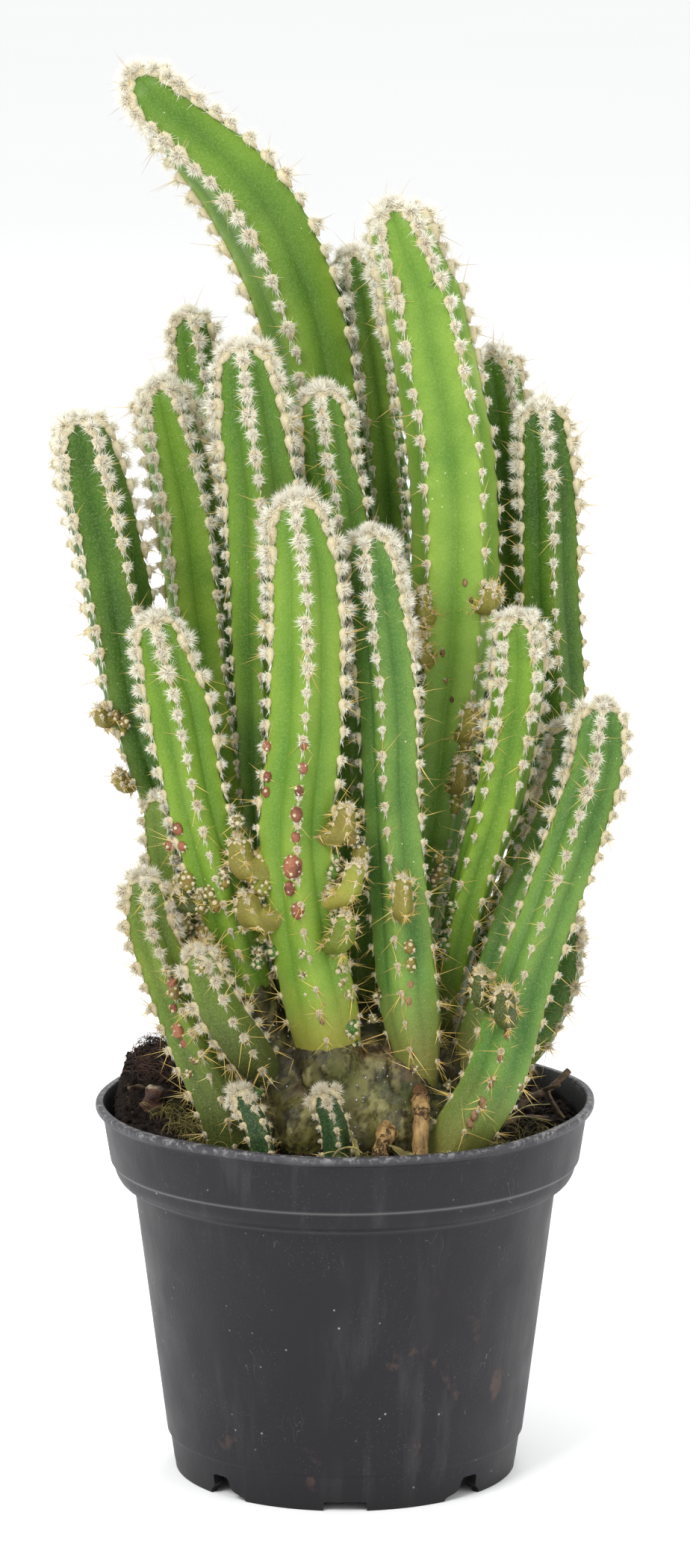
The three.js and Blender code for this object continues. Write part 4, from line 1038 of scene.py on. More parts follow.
def place_on_stem(tree, given, route, from_tip, angle, share):
    """Where a point of the stem lies: its way from the tip, its angle from the front, and its
    distance from the middle line as a share of the rib's radius. Also the outward way there,
    the way ahead and the length of the whole stem."""
    length = flow(node(tree, "GeometryNodeCurveLength", Curve=route))
    settings = {"mode": "LENGTH", "data_type": "FLOAT"}
    girth = named(tree, "girth")
    tip = node(tree, "GeometryNodeSampleCurve", settings, Curves=route, Value=girth, Length=length)
    tip_radius = flow(tip, "Value")
    dome = tip_radius * DOME_ARC
    over = (from_tip / dome).do("MINIMUM", 1.0) * (math.pi / 2)
    station = length - (from_tip - dome).do("MAXIMUM", 0.0)
    here = node(tree, "GeometryNodeSampleCurve", settings, Curves=route, Value=girth, Length=station)
    ahead = flow(here, "Tangent")
    side = (ahead * (apart(tree, ahead)[0] * -1.0) + (1.0, 0.0, 0.0)).do("NORMALIZE")
    back = ahead.do("CROSS_PRODUCT", side)
    angle = angle + given["Twist"] * (station / length).do("POWER", TWIST_POWER)
    way = side * angle.do("SINE") - back * angle.do("COSINE")
    distance = flow(here, "Value") * over.do("SINE") * share
    lift = tip_radius * over.do("COSINE") * DOME_HEIGHT
    place = flow(here, "Position") + way * distance + ahead * lift
    outward = (way * over.do("SINE") + ahead * over.do("COSINE")).do("NORMALIZE")
    return place, outward, ahead, length + dome


def rib_start(rib, seed):
    """Neighbouring ribs start their rows of areoles at different places, as on the real plant."""
    return (rib * ROW_STEP[0] + seed * ROW_STEP[1]).do("FRACT")


def wandering(tree, given, place):
    """How far the skin swells out or in here: a stem is never quite even."""
    return (noise_at(tree, place, WANDER_SCALE) - 0.5) * 2.0 * given["Unevenness"]


# The skin: a cylinder whose rings follow the route. Its section has a crest at each rib, nearly
# flat faces, and a groove in the middle of each face. The crest stands out at each areole, and
# the foot is nearly round. The skin remembers how far each point is from crest, tip and foot.
STEM_INPUTS = dict(Ribs=5, Turn=0.0, Twist=0.0, Seed=1, First_Areole=2 * MM, Unevenness=0.25 * MM)
tree, given = tree_with("ribbed_skin", **STEM_INPUTS, Rings=100, Sides=60, Valley=0.7, Round_Foot=34 * MM,
                        Scallop=0.55 * MM, Finish="")
route = route_of(tree, given)
cylinder = node(tree, "GeometryNodeMeshCylinder", {"fill_type": "NGON"}, Vertices=given["Sides"],
                Side_Segments=given["Rings"], Radius=1.0, Depth=1.0)
x, y, z = apart(tree, position(tree))
around = y.do("ARCTAN2", x) * (given["Ribs"] / (2 * math.pi))
rib = around.do("ROUND")
off = around - rib
even = off.do("ABSOLUTE") * 2.0
to_valley = even - (even * (2 * math.pi)).do("SINE") * POINTS_GATHERED
rib_angle = given["Ribs"].do("POWER", -1.0) * (2 * math.pi)
angle = (rib + off.do("SIGN") * to_valley * 0.5) * rib_angle + given["Turn"]
share_down = 0.5 - z
_, _, _, total = place_on_stem(tree, given, route, share_down, angle, 1.0)
from_tip = share_down * (total - TIP_ROOM) + TIP_ROOM
half_angle = rib_angle * 0.5
bend = to_valley * half_angle
rounding = ((total - from_tip) / given["Round_Foot"]).hump(1.0)
valley = given["Valley"] + (FOOT_VALLEY - given["Valley"]) * rounding
chord = half_angle.do("SINE") * valley / (bend.do("SINE") + (half_angle - bend).do("SINE") * valley)
fullness = (to_valley * math.pi).do("SINE") * FACE_FULLNESS
groove = (to_valley - 1.0).hump(GROOVE_WIDTH) * GROOVE_DEPTH
rib_number = (rib + given["Ribs"]).do("FLOORED_MODULO", given["Ribs"])
row = (from_tip / given["First_Areole"]).do("POWER", 1 / AREOLE_POWER) - rib_start(rib_number, given["Seed"])
at_areole = (row * (2 * math.pi)).do("COSINE") * 0.5 + 0.5
_, outward, _, _ = place_on_stem(tree, given, route, from_tip, angle, 1.0)
place, _, _, _ = place_on_stem(tree, given, route, from_tip, angle, chord + fullness - groove)
notch = (at_areole - 1.0) * to_valley.hump(CREST_WIDTH) * (1.0 - rounding) * given["Scallop"]
shaped = place + outward * notch + outward * wandering(tree, given, place)
skin = store(tree, flow(cylinder, "Mesh"), to_valley=to_valley, from_tip=from_tip, from_foot=total - from_tip)
skin_tree = close_tree(tree, smoothed(tree, moved(tree, skin, Position=shaped)), given["Finish"])


def without(tree, points, unwanted):
    return flow(node(tree, "GeometryNodeDeleteGeometry", {"domain": "POINT"}, Geometry=points,
                     Selection=unwanted))


def repeated(tree, points, amount):
    """Each point as many times as the amount says."""
    spread = node(tree, "GeometryNodeDuplicateElements", {"domain": "POINT"}, Geometry=points, Amount=amount)
    return flow(spread, "Geometry"), flow(spread, "Duplicate Index")


def any_way(tree, seed):
    return chance(tree, (-1, -1, -1), (1, 1, 1), seed)


def areole_points(tree, given):
    """The areoles of a stem as points, with their outward way, the stem's way ahead, their
    distance from tip and foot and a chance number of their own."""
    points = flow(node(tree, "GeometryNodePoints", Count=given["Ribs"] * given["Rows"]))
    index = flow(node(tree, "GeometryNodeInputIndex"))
    rib = index.do("FLOORED_MODULO", given["Ribs"])
    row = (index / given["Ribs"]).do("FLOOR") + rib_start(rib, given["Seed"])
    row = row + chance(tree, -ROW_JITTER, ROW_JITTER, given["Seed"])
    from_tip = row.do("MAXIMUM", FIRST_ROW).do("POWER", AREOLE_POWER) * given["First_Areole"]
    rib_angle = given["Ribs"].do("POWER", -1.0) * (2 * math.pi)
    angle = rib * rib_angle + given["Turn"] + chance(tree, -RIB_JITTER, RIB_JITTER, given["Seed"] + 1)
    place, outward, ahead, total = place_on_stem(tree, given, route_of(tree, given), from_tip, angle, 1.0)
    place = place + outward * (wandering(tree, given, place) - AREOLE_SINK)
    points = store(tree, points, outward=outward, ahead=ahead, from_tip=from_tip, from_foot=total - from_tip,
                   own_chance=chance(tree, 0.0, 1.0, given["Seed"] + 2))
    points = moved(tree, points, Position=place)
    return without(tree, points, (total - from_tip) < given["Bare_Foot"])


def needle(tree, label):
    """A three-sided needle of unit height and radius, that knows how far up it each point is."""
    cone = flow(node(tree, "GeometryNodeMeshCone", {"fill_type": "NONE"}, Vertices=3, Side_Segments=1,
                     Radius_Top=0.0, Radius_Bottom=1.0, Depth=1.0), "Mesh")
    return store(tree, cone, **{label: apart(tree, position(tree))[2]})


def raised(tree, points, shape, way, size, ahead=None):
    """Stands a copy of the shape on each point: its Z goes one way, and its Y as near the other."""
    turn = flow(node(tree, "FunctionNodeAlignRotationToVector", {"axis": "Z"}, Vector=way))
    if ahead is not None:
        settings = {"axis": "Y", "pivot_axis": "Z"}
        turn = flow(node(tree, "FunctionNodeAlignRotationToVector", settings, Rotation=turn, Vector=ahead))
    return copied(tree, points, shape, turn, size)


def narrow_enough(tree, given, points, end):
    """Leaves out what would end further to a side than Widest."""
    return without(tree, points, apart(tree, end)[0].do("ABSOLUTE") > given["Widest"])


# The wool: a felted bead on each areole, drawn out into a tail down the rib, with fine hairs that
# stand out of it. At the tip the beads drown in long loose hair; lower down few hairs are left.
# The tufts shrink between two distances from the tip, in millimetres. The first hairs of each
# tuft lie in its tail. What follows is in shares of the tuft's size, or how strongly a hair
# leans out and curls.
SHRINKING = (60.0, 130.0)
SHRUNK_BY = 0.3
TAIL_HAIRS = 14.0
SMALLEST_TUFT = 0.75
TUFT_VARIES = 0.4
HAIRS_OUT = 0.8
HAIR_THICKNESS = (0.7, 1.3)
OLD_HAIR_LENGTH = 0.62
YOUNG_HAIR_EXTRA = 0.3
BEAD_REACH = 0.45
BEAD_LIFT = 0.15
TAIL_REACH = (0.1, 1.5)
TAIL_WIDTH = 0.22
TAIL_SINK = 0.1
FLUFFY = dict(curl=0.95, out=0.2)
HANGING = dict(curl=0.35, out=0.18)
HAIR_SPREAD = (0.5, 1.3)
TAIL_HAIR_LENGTH = 1.1
BEAD_WIDTH = 0.68
BEAD_SHAPE = (1.05, 0.82)
BEAD_TAPER = 0.55
BEAD_TAIL = 0.95
BEAD_THINNING = 0.3
BARE_MIDDLE = (0.45, 1.0)
AREOLE_INPUTS = dict(STEM_INPUTS, Rows=40, Bare_Foot=6 * MM)
tree, given = tree_with("areole_wool", **AREOLE_INPUTS, Old_Tuft=1.35 * MM, Young_Tuft=1.1 * MM,
                        Young_Length=60 * MM, Old_Hairs=34.0, Young_Hairs=110.0, Hair_Radius=0.08 * MM,
                        Widest=62 * MM, Finish="")
points = areole_points(tree, given)
young = (named(tree, "from_tip") / given["Young_Length"]).hump(1.0)
oldest = (named(tree, "from_tip") * TO_MM).between(*SHRINKING) * -SHRUNK_BY + 1.0
own = named(tree, "own_chance")
tuft = (given["Old_Tuft"] * oldest + young * given["Young_Tuft"]) * (own * TUFT_VARIES + SMALLEST_TUFT)
points = store(tree, points, tuft=tuft, young=young)
tuft, young = named(tree, "tuft"), named(tree, "young")
outward, ahead = named_way(tree, "outward"), named_way(tree, "ahead")
hairs, hair_number = repeated(tree, points, given["Old_Hairs"] + young * given["Young_Hairs"])
in_tail = hair_number < TAIL_HAIRS
ball = any_way(tree, given["Seed"] + 11)
curl = any_way(tree, given["Seed"] + 15)
from_bead = (outward * HAIRS_OUT + ball).do("NORMALIZE")
root = position(tree) + from_bead * (tuft * BEAD_REACH) + outward * (tuft * BEAD_LIFT)
down = chance(tree, *TAIL_REACH, given["Seed"] + 16) * tuft
side_step = (ball - outward * ball.do("DOT_PRODUCT", outward)) * (tuft * TAIL_WIDTH)
tail_root = position(tree) - ahead * down + side_step - outward * (tuft * TAIL_SINK)
root = root + (tail_root - root) * in_tail
fluffy = (from_bead + curl * FLUFFY["curl"] + outward * FLUFFY["out"]).do("NORMALIZE")
hanging = (curl * HANGING["curl"] + ahead * -1.0 + outward * HANGING["out"]).do("NORMALIZE")
way = fluffy + (hanging - fluffy) * in_tail
spread_length = tuft * chance(tree, *HAIR_SPREAD, given["Seed"] + 12)
hair_length = spread_length * (young * YOUNG_HAIR_EXTRA + OLD_HAIR_LENGTH)
hair_length = hair_length + (spread_length * TAIL_HAIR_LENGTH - hair_length) * in_tail
hairs = store(tree, hairs, way=way, root=root, hair_length=hair_length)
way, root, hair_length = named_way(tree, "way"), named_way(tree, "root"), named(tree, "hair_length")
hairs = narrow_enough(tree, given, hairs, root + way * hair_length)
radius = given["Hair_Radius"] * chance(tree, *HAIR_THICKNESS, given["Seed"] + 13)
hairs = store(tree, hairs, hair_scale=triple(tree, radius, radius, hair_length),
              shade=chance(tree, 0.0, 1.0, given["Seed"] + 14))
hairs = moved(tree, hairs, Position=root)
standing = raised(tree, hairs, needle(tree, "hair"), way, named_way(tree, "hair_scale"))
x, y, z = apart(tree, position(tree))
below = (y * -1.0).do("MAXIMUM", 0.0)
drawn = triple(tree, x * (1.0 - below * BEAD_TAPER), y - below * below * BEAD_TAIL,
               z * (1.0 - below * BEAD_THINNING))
drop = flow(node(tree, "GeometryNodeMeshUVSphere", Segments=7, Rings=5, Radius=1.0), "Mesh")
drop = store(tree, drop, core=(z + y * 0.3).between(*BARE_MIDDLE))
drop = smoothed(tree, moved(tree, drop, Position=drawn))
wide = tuft * BEAD_WIDTH
bead_size = triple(tree, wide, wide * BEAD_SHAPE[0], wide * BEAD_SHAPE[1])
beads = raised(tree, points, drop, outward, bead_size, ahead)
wool_tree = close_tree(tree, joined(tree, standing, beads), given["Finish"])


SPINES_OUT = 0.75


def bristling(tree, given, points, amount):
    """Spines that stand out from the points to all sides, as needles."""
    spines, _ = repeated(tree, points, amount)
    way = (named_way(tree, "outward") * SPINES_OUT + any_way(tree, given["Seed"] + 21)).do("NORMALIZE")
    small = chance(tree, 0.0, 1.0, given["Seed"] + 22)
    size = given["Shortest"] + (given["Longest"] - given["Shortest"]) * small * small
    spines = store(tree, spines, way=way, spine_length=size, shade=chance(tree, 0.0, 1.0, given["Seed"] + 23))
    way, size = named_way(tree, "way"), named(tree, "spine_length")
    spines = narrow_enough(tree, given, spines, position(tree) + way * size)
    thick = given["Spine_Radius"]
    return raised(tree, spines, needle(tree, "along"), way, triple(tree, thick, thick, size))


# The spines: stiff golden needles that spread from under the wool, in tufts below the tip, few on
# the middle of a stem, and in stars near its foot. The chance number of an areole says whether
# it is one of those with many.
TUFTS_BELOW_TIP = 27 * MM
TUFTS_REACH = 22 * MM
STARS_REACH = 34 * MM
MIDDLE_SHARE = 1.6
STAR_SHARE = 0.4
tree, given = tree_with("areole_spines", **AREOLE_INPUTS, Tip_Spines=10.0, Foot_Spines=7.0, Middle_Spines=2.2,
                        Shortest=3.0 * MM, Longest=9.0 * MM, Spine_Radius=0.11 * MM, Widest=62.4 * MM,
                        Finish="")
points = areole_points(tree, given)
own = named(tree, "own_chance")
near_tip = ((named(tree, "from_tip") - TUFTS_BELOW_TIP) / TUFTS_REACH).hump(1.0)
near_foot = (named(tree, "from_foot") / STARS_REACH).hump(1.0)
amount = own * own * MIDDLE_SHARE * given["Middle_Spines"]
amount = amount + near_tip * own * own * given["Tip_Spines"]
amount = amount + near_foot * (own + STAR_SHARE) * given["Foot_Spines"]
spine_tree = close_tree(tree, bristling(tree, given, points, amount), given["Finish"])


# Where the skin changes, in millimetres: where the newest tip's deep green starts to fade in and is full, and
# the heights between which the darkening inside the clump falls, painted shade with some duller skin.
NEWEST = (34.0, 8.0)
CLUMP_SHADE_AND_DULLING_HEIGHTS = (176.0, 130.0)


def skin_material(name, pale, deep, old, groove, foot, clump_shade_and_dulling):
    """Waxy plant skin: paler and deeper greens in soft patches, yellower along the ribs, a soft dark line of
    painted shade in the groove of each face, darker at the newest tip, a foot colour between two heights, and
    fine pale dots. The foot colour is an older, browner foot on most skins and painted shade on the olive
    ones. Stems inside the clump are darkened below a height, mostly by painted shade of the stems round them
    and partly by a duller, older skin: the last argument says how much."""
    new, tree, shader = material(name)
    along_rib = attribute(tree, "to_valley").hump(0.42) * grain(tree, 45.0).between(0.25, 0.6)
    painted_groove_shade = (attribute(tree, "to_valley") - 1.0).hump(0.42)
    newest = (attribute(tree, "from_tip") * TO_MM).between(*NEWEST)
    height = apart(tree, on_piece(tree))[2]
    low_clump_shade_and_dulling = (height * TO_MM + grain(tree, 60.0) * 20.0).between(*CLUMP_SHADE_AND_DULLING_HEIGHTS)
    foot_age_and_shade = (attribute(tree, "from_foot") * TO_MM + grain(tree, 160.0, 3.0) * 16.0).between(*foot)
    mottling = grain(tree, 2200.0, 3.0, 0.7).between(0.42, 0.7)
    dots = cells(tree, 2300.0).between(0.34, 0.2)
    specks = cells(tree, 420.0).between(0.09, 0.05) * grain(tree, 60.0).between(0.5, 0.6)
    colour = layered(
        tree, mixed(tree, grain(tree, 75.0, 3.0).between(0.32, 0.68), pale, deep),
        (along_rib * 0.45, mixed(tree, 0.35, pale, srgb(176, 176, 66))),
        (grain(tree, 22.0).between(0.4, 0.7) * 0.5, deep),
        # Painted shade in the groove of each face.
        (painted_groove_shade * 0.42, groove),
        (newest * 0.45, deep),
        # Painted shade low inside the clump, partly also a duller, older skin.
        (low_clump_shade_and_dulling * clump_shade_and_dulling, mixed(tree, 0.5, groove, deep)),
        # The foot: older and browner on most skins, painted shade on the olive ones.
        (foot_age_and_shade * 0.85, old),
        (mottling * 0.18, mixed(tree, 0.4, pale, srgb(200, 205, 140))),
        (dots * 0.12, srgb(190, 200, 140)),
        (specks * 0.6, srgb(225, 215, 180)))
    relief = grain(tree, 700.0, 3.0) * 0.5 + grain(tree, 2600.0) * 0.2 + dots * 0.15
    finish_with(tree, shader, Base_Color=colour, Roughness=grain(tree, 300.0) * 0.2 + 0.36,
                Normal=bump(tree, relief, 0.12 * MM), Specular_IOR_Level=0.22, Subsurface_Weight=0.12,
                Subsurface_Radius=(0.9, 1.2, 0.3), Subsurface_Scale=1.2 * MM)
    return new


# Each skin: a slot name, then its pale, deep, foot and groove colours. The groove colour is painted shade,
# and so is the olive skin's dark green foot colour; on the other skins the foot colour is an older, browner
# skin.
SKIN_COLOURS = {
    "bright": ("skin_bright", (120, 150, 50), (90, 128, 38), (150, 138, 60), (62, 106, 22)),
    "broad": ("skin_bright", (130, 162, 62), (92, 132, 40), (96, 94, 38), (56, 98, 24)),
    "fresh": ("skin_bright", (112, 144, 36), (82, 120, 28), (98, 100, 36), (50, 90, 16)),
    "green": ("skin_green", (64, 104, 16), (40, 76, 10), (88, 84, 32), (28, 58, 8)),
    "inner": ("skin_green", (102, 138, 38), (68, 108, 26), (84, 80, 34), (38, 72, 14)),
    "blue_green": ("skin_blue_green", (104, 140, 60), (62, 104, 40), (112, 102, 48), (40, 78, 24)),
    "pup": ("skin_blue_green", (42, 76, 36), (22, 50, 24), (34, 56, 26), (16, 38, 18)),
    "olive": ("skin_olive", (116, 134, 42), (76, 102, 30), (50, 54, 24), (52, 72, 20)),
    "bud": ("skin_olive", (130, 134, 50), (116, 102, 46), (112, 78, 50), (100, 92, 38)),
}
# Where the foot colour ends and where it is full, in millimetres above the stem's root: an older, browner
# foot, and on the olive skin painted shade.
USUAL_FOOT = (30.0, 13.0)
FEET_AGE_AND_SHADE = {"bright": (32.0, 14.0), "blue_green": (34.0, 15.0), "pup": (6.0, 2.0), "olive": (44.0, 22.0),
            "bud": (9.5, 4.0)}
# How strongly painted shade, with some duller skin, darkens the stems inside the clump low down.
CLUMP_SHADE_AND_DULLING = {"broad": 0.6, "inner": 0.6}
SKINS = {}
for name, (slot, *colours) in SKIN_COLOURS.items():
    pale, deep, old, groove = (srgb(*colour) for colour in colours)
    foot, clump_shade_and_dulling = FEET_AGE_AND_SHADE.get(name, USUAL_FOOT), CLUMP_SHADE_AND_DULLING.get(name, 0.0)
    SKINS[name] = (slot, skin_material("skin_" + name, pale, deep, old, groove, foot, clump_shade_and_dulling))

# Wool is whitest at the hairs' ends, brown in the middle of a bead and weathered low down.
WEATHERED = (185.0, 120.0)
wool_finish, tree, shader = material("areole_wool")
root_shade = mixed(tree, attribute(tree, "shade"), srgb(204, 194, 162), srgb(226, 219, 194))
tip_shade = mixed(tree, attribute(tree, "shade"), srgb(234, 230, 212), srgb(252, 250, 240))
height = apart(tree, on_piece(tree))[2]
weathered = (height * TO_MM + grain(tree, 90.0) * 30.0).between(*WEATHERED)
brown_middle = attribute(tree, "core") * grain(tree, 900.0, 3.0, 0.7).between(0.38, 0.55)
woolly = layered(
    tree, mixed(tree, attribute(tree, "hair").between(0.0, 0.4), root_shade, tip_shade),
    (grain(tree, 380.0).between(0.42, 0.62) * 0.3, srgb(188, 168, 128)),
    (weathered * 0.5, srgb(172, 156, 114)),
    (brown_middle * 0.75, srgb(128, 96, 66)))
finish_with(tree, shader, Base_Color=woolly, Roughness=0.85, Specular_IOR_Level=0.2, Subsurface_Weight=0.35,
            Subsurface_Radius=(1.0, 0.9, 0.8), Subsurface_Scale=0.6 * MM,
            Normal=bump(tree, grain(tree, 3000.0), 0.1 * MM))

spine_finish, tree, shader = material("spines")
golden = mixed(tree, attribute(tree, "shade"), srgb(214, 188, 104), srgb(172, 140, 70))
golden = mixed(tree, attribute(tree, "along").between(0.6, 1.0), golden, srgb(120, 96, 70))
finish_with(tree, shader, Base_Color=golden, Roughness=grain(tree, 900.0) * 0.2 + 0.35)


def shoot_route(line, height, angle, length, radius, lean):
    """The route of a side shoot, from the height and the angle where it leaves its stem."""
    k = min(int(np.argmax(line[:, 2] >= height * MM)), len(line) - 2)
    middle, girth = line[k, :3], line[k, 3]
    ahead = line[k + 1, :3] - middle
    ahead /= np.linalg.norm(ahead)
    side = np.array([1.0, 0, 0]) - ahead * ahead[0]
    side /= np.linalg.norm(side)
    out = side * math.sin(math.radians(angle)) - np.cross(ahead, side) * math.cos(math.radians(angle))
    way = out * lean + np.array([0, 0, 1.0])
    way /= np.linalg.norm(way)
    length, radius = length * MM, radius * MM
    root = middle + out * girth * SHOOT_ROOT_DEPTH
    knee = middle + out * (girth + radius * SHOOT_KNEE_OUT) + way * length * SHOOT_STEPS[0]
    end = knee + way * length * SHOOT_STEPS[1]
    return [[*(p / MM), radius * share / MM] for p, share in zip((root, knee, end), SHOOT_GIRTH)]


# Sizes by age. Pitch is the way between two rings of the skin, sides are its faces to a rib, and
# the rest are inputs of the trees.
GROWN = dict(
    pitch=1.05 * MM, sides=12, shared=dict(First_Areole=2.2 * MM, Unevenness=0.25 * MM),
    skin=dict(Valley=0.7, Scallop=0.55 * MM),
    wool=dict(Bare_Foot=6 * MM, Old_Tuft=1.3 * MM, Young_Tuft=1.15 * MM, Young_Length=42 * MM, Old_Hairs=44.0,
              Young_Hairs=155.0),
    spines=dict(Bare_Foot=6 * MM, Shortest=3 * MM, Longest=9 * MM))
PUP = dict(
    pitch=0.5 * MM, sides=12, shared=dict(First_Areole=1.9 * MM, Unevenness=0.15 * MM),
    skin=dict(Valley=0.8, Scallop=0.4 * MM, Round_Foot=2 * MM),
    wool=dict(Bare_Foot=2.5 * MM, Old_Tuft=0.95 * MM, Young_Tuft=0.9 * MM, Young_Length=6 * MM,
              Old_Hairs=40.0, Young_Hairs=170.0),
    spines=dict(Bare_Foot=2.5 * MM, Shortest=1.5 * MM, Longest=3.5 * MM, Tip_Spines=0.5, Foot_Spines=1.2))
YOUNG = dict(
    pitch=0.5 * MM, sides=8, shared=dict(First_Areole=1.6 * MM, Unevenness=0.3 * MM),
    skin=dict(Valley=0.84, Scallop=0.3 * MM, Round_Foot=4 * MM),
    wool=dict(Bare_Foot=2.5 * MM, Old_Tuft=0.6 * MM, Young_Tuft=0.4 * MM, Young_Length=5 * MM, Old_Hairs=14.0,
              Young_Hairs=40.0),
    spines=dict(Bare_Foot=2.5 * MM, Shortest=2 * MM, Longest=4 * MM))

# A slim stem has smaller tufts. On the tallest one long hair reaches far down from the tip.
FULL_GIRTH = 8.0
SLIM_POWER = 0.7
LONG_HAIRED = {"stem_tall_leaning": 90 * MM}
SEED_STEP = 10


def wool_inputs(name, stem, age):
    """The wool's inputs for this stem."""
    inputs = dict(age["wool"])
    if age is GROWN:
        slimness = min(1.0, max(point[3] for point in stem["route"]) / FULL_GIRTH) ** SLIM_POWER
        for label in ("Old_Tuft", "Young_Tuft", "Young_Length"):
            inputs[label] *= slimness
    if name in LONG_HAIRED:
        inputs["Young_Length"] = LONG_HAIRED[name]
    return inputs


def grow(name, points, ribs, turn, twist, seed, finish, age, its_wool):
    """The skin, wool and spines of one stem or shoot."""
    line = smooth_route(points)
    host = route_host(name + "_route", line)
    total = np.linalg.norm(np.diff(line[:, :3], axis=0), axis=1).sum() + line[-1, 3] * DOME_ARC
    shared = dict(Ribs=ribs, Turn=math.radians(turn), Twist=math.radians(twist), Seed=seed, **age["shared"])
    rows = math.ceil((total / shared["First_Areole"]) ** (1 / AREOLE_POWER)) + 1
    skin = run_tree(skin_tree, host, name + "_skin", ("to_valley", "from_foot", "from_tip"), Finish=finish,
                    Rings=int(total / age["pitch"]), Sides=ribs * age["sides"], **shared, **age["skin"])
    wool = run_tree(wool_tree, host, name + "_wool", ("hair", "shade", "core"), Finish=wool_finish, Rows=rows,
                    **shared, **its_wool)
    spines = run_tree(spine_tree, host, name + "_spines", ("along", "shade"), Finish=spine_finish, Rows=rows,
                      **shared, **age["spines"])
    bpy.data.objects.remove(host)
    return skin, wool, spines


for order, (name, stem) in enumerate(STEMS.items()):
    age = PUP if name.startswith("pup") else GROWN
    slot, skin = SKINS[stem["skin"]]
    seed = SEED_STEP * order + 1
    twist = stem.get("twist", 0)
    its_wool = wool_inputs(name, stem, age)
    grown = [grow(name, stem["route"], stem["ribs"], stem["turn"], twist, seed, skin, age, its_wool)]
    line = smooth_route(stem["route"])
    for k, (*shoot, its_skin) in enumerate(SHOOTS.get(name, [])):
        grown.append(grow(
            f"{name}_shoot_{k}", shoot_route(line, *shoot), SHOOT_RIBS, SHOOT_TURN, 0, seed + k + 1,
            SKINS[its_skin][1], YOUNG, YOUNG["wool"]))
    skins, wools, spines = (list(pieces) for pieces in zip(*grown))
    plain = name.removeprefix("stem_")
    hand_over(merge(skins, "skin_" + plain), slot, name)
    hand_over(merge(wools, "wool_" + plain), "areole_wool")
    hand_over(merge(spines, "spines_" + plain), "spines")

# ---- Buds and scabs -------------------------------------------------------------------------
# Clusters of buds that broke from old areoles: olive and green knobs with dots of wool, pinkish
# corky scabs in a ring of wool, tufts of bare wool, stars of spines, and flat brown scars.

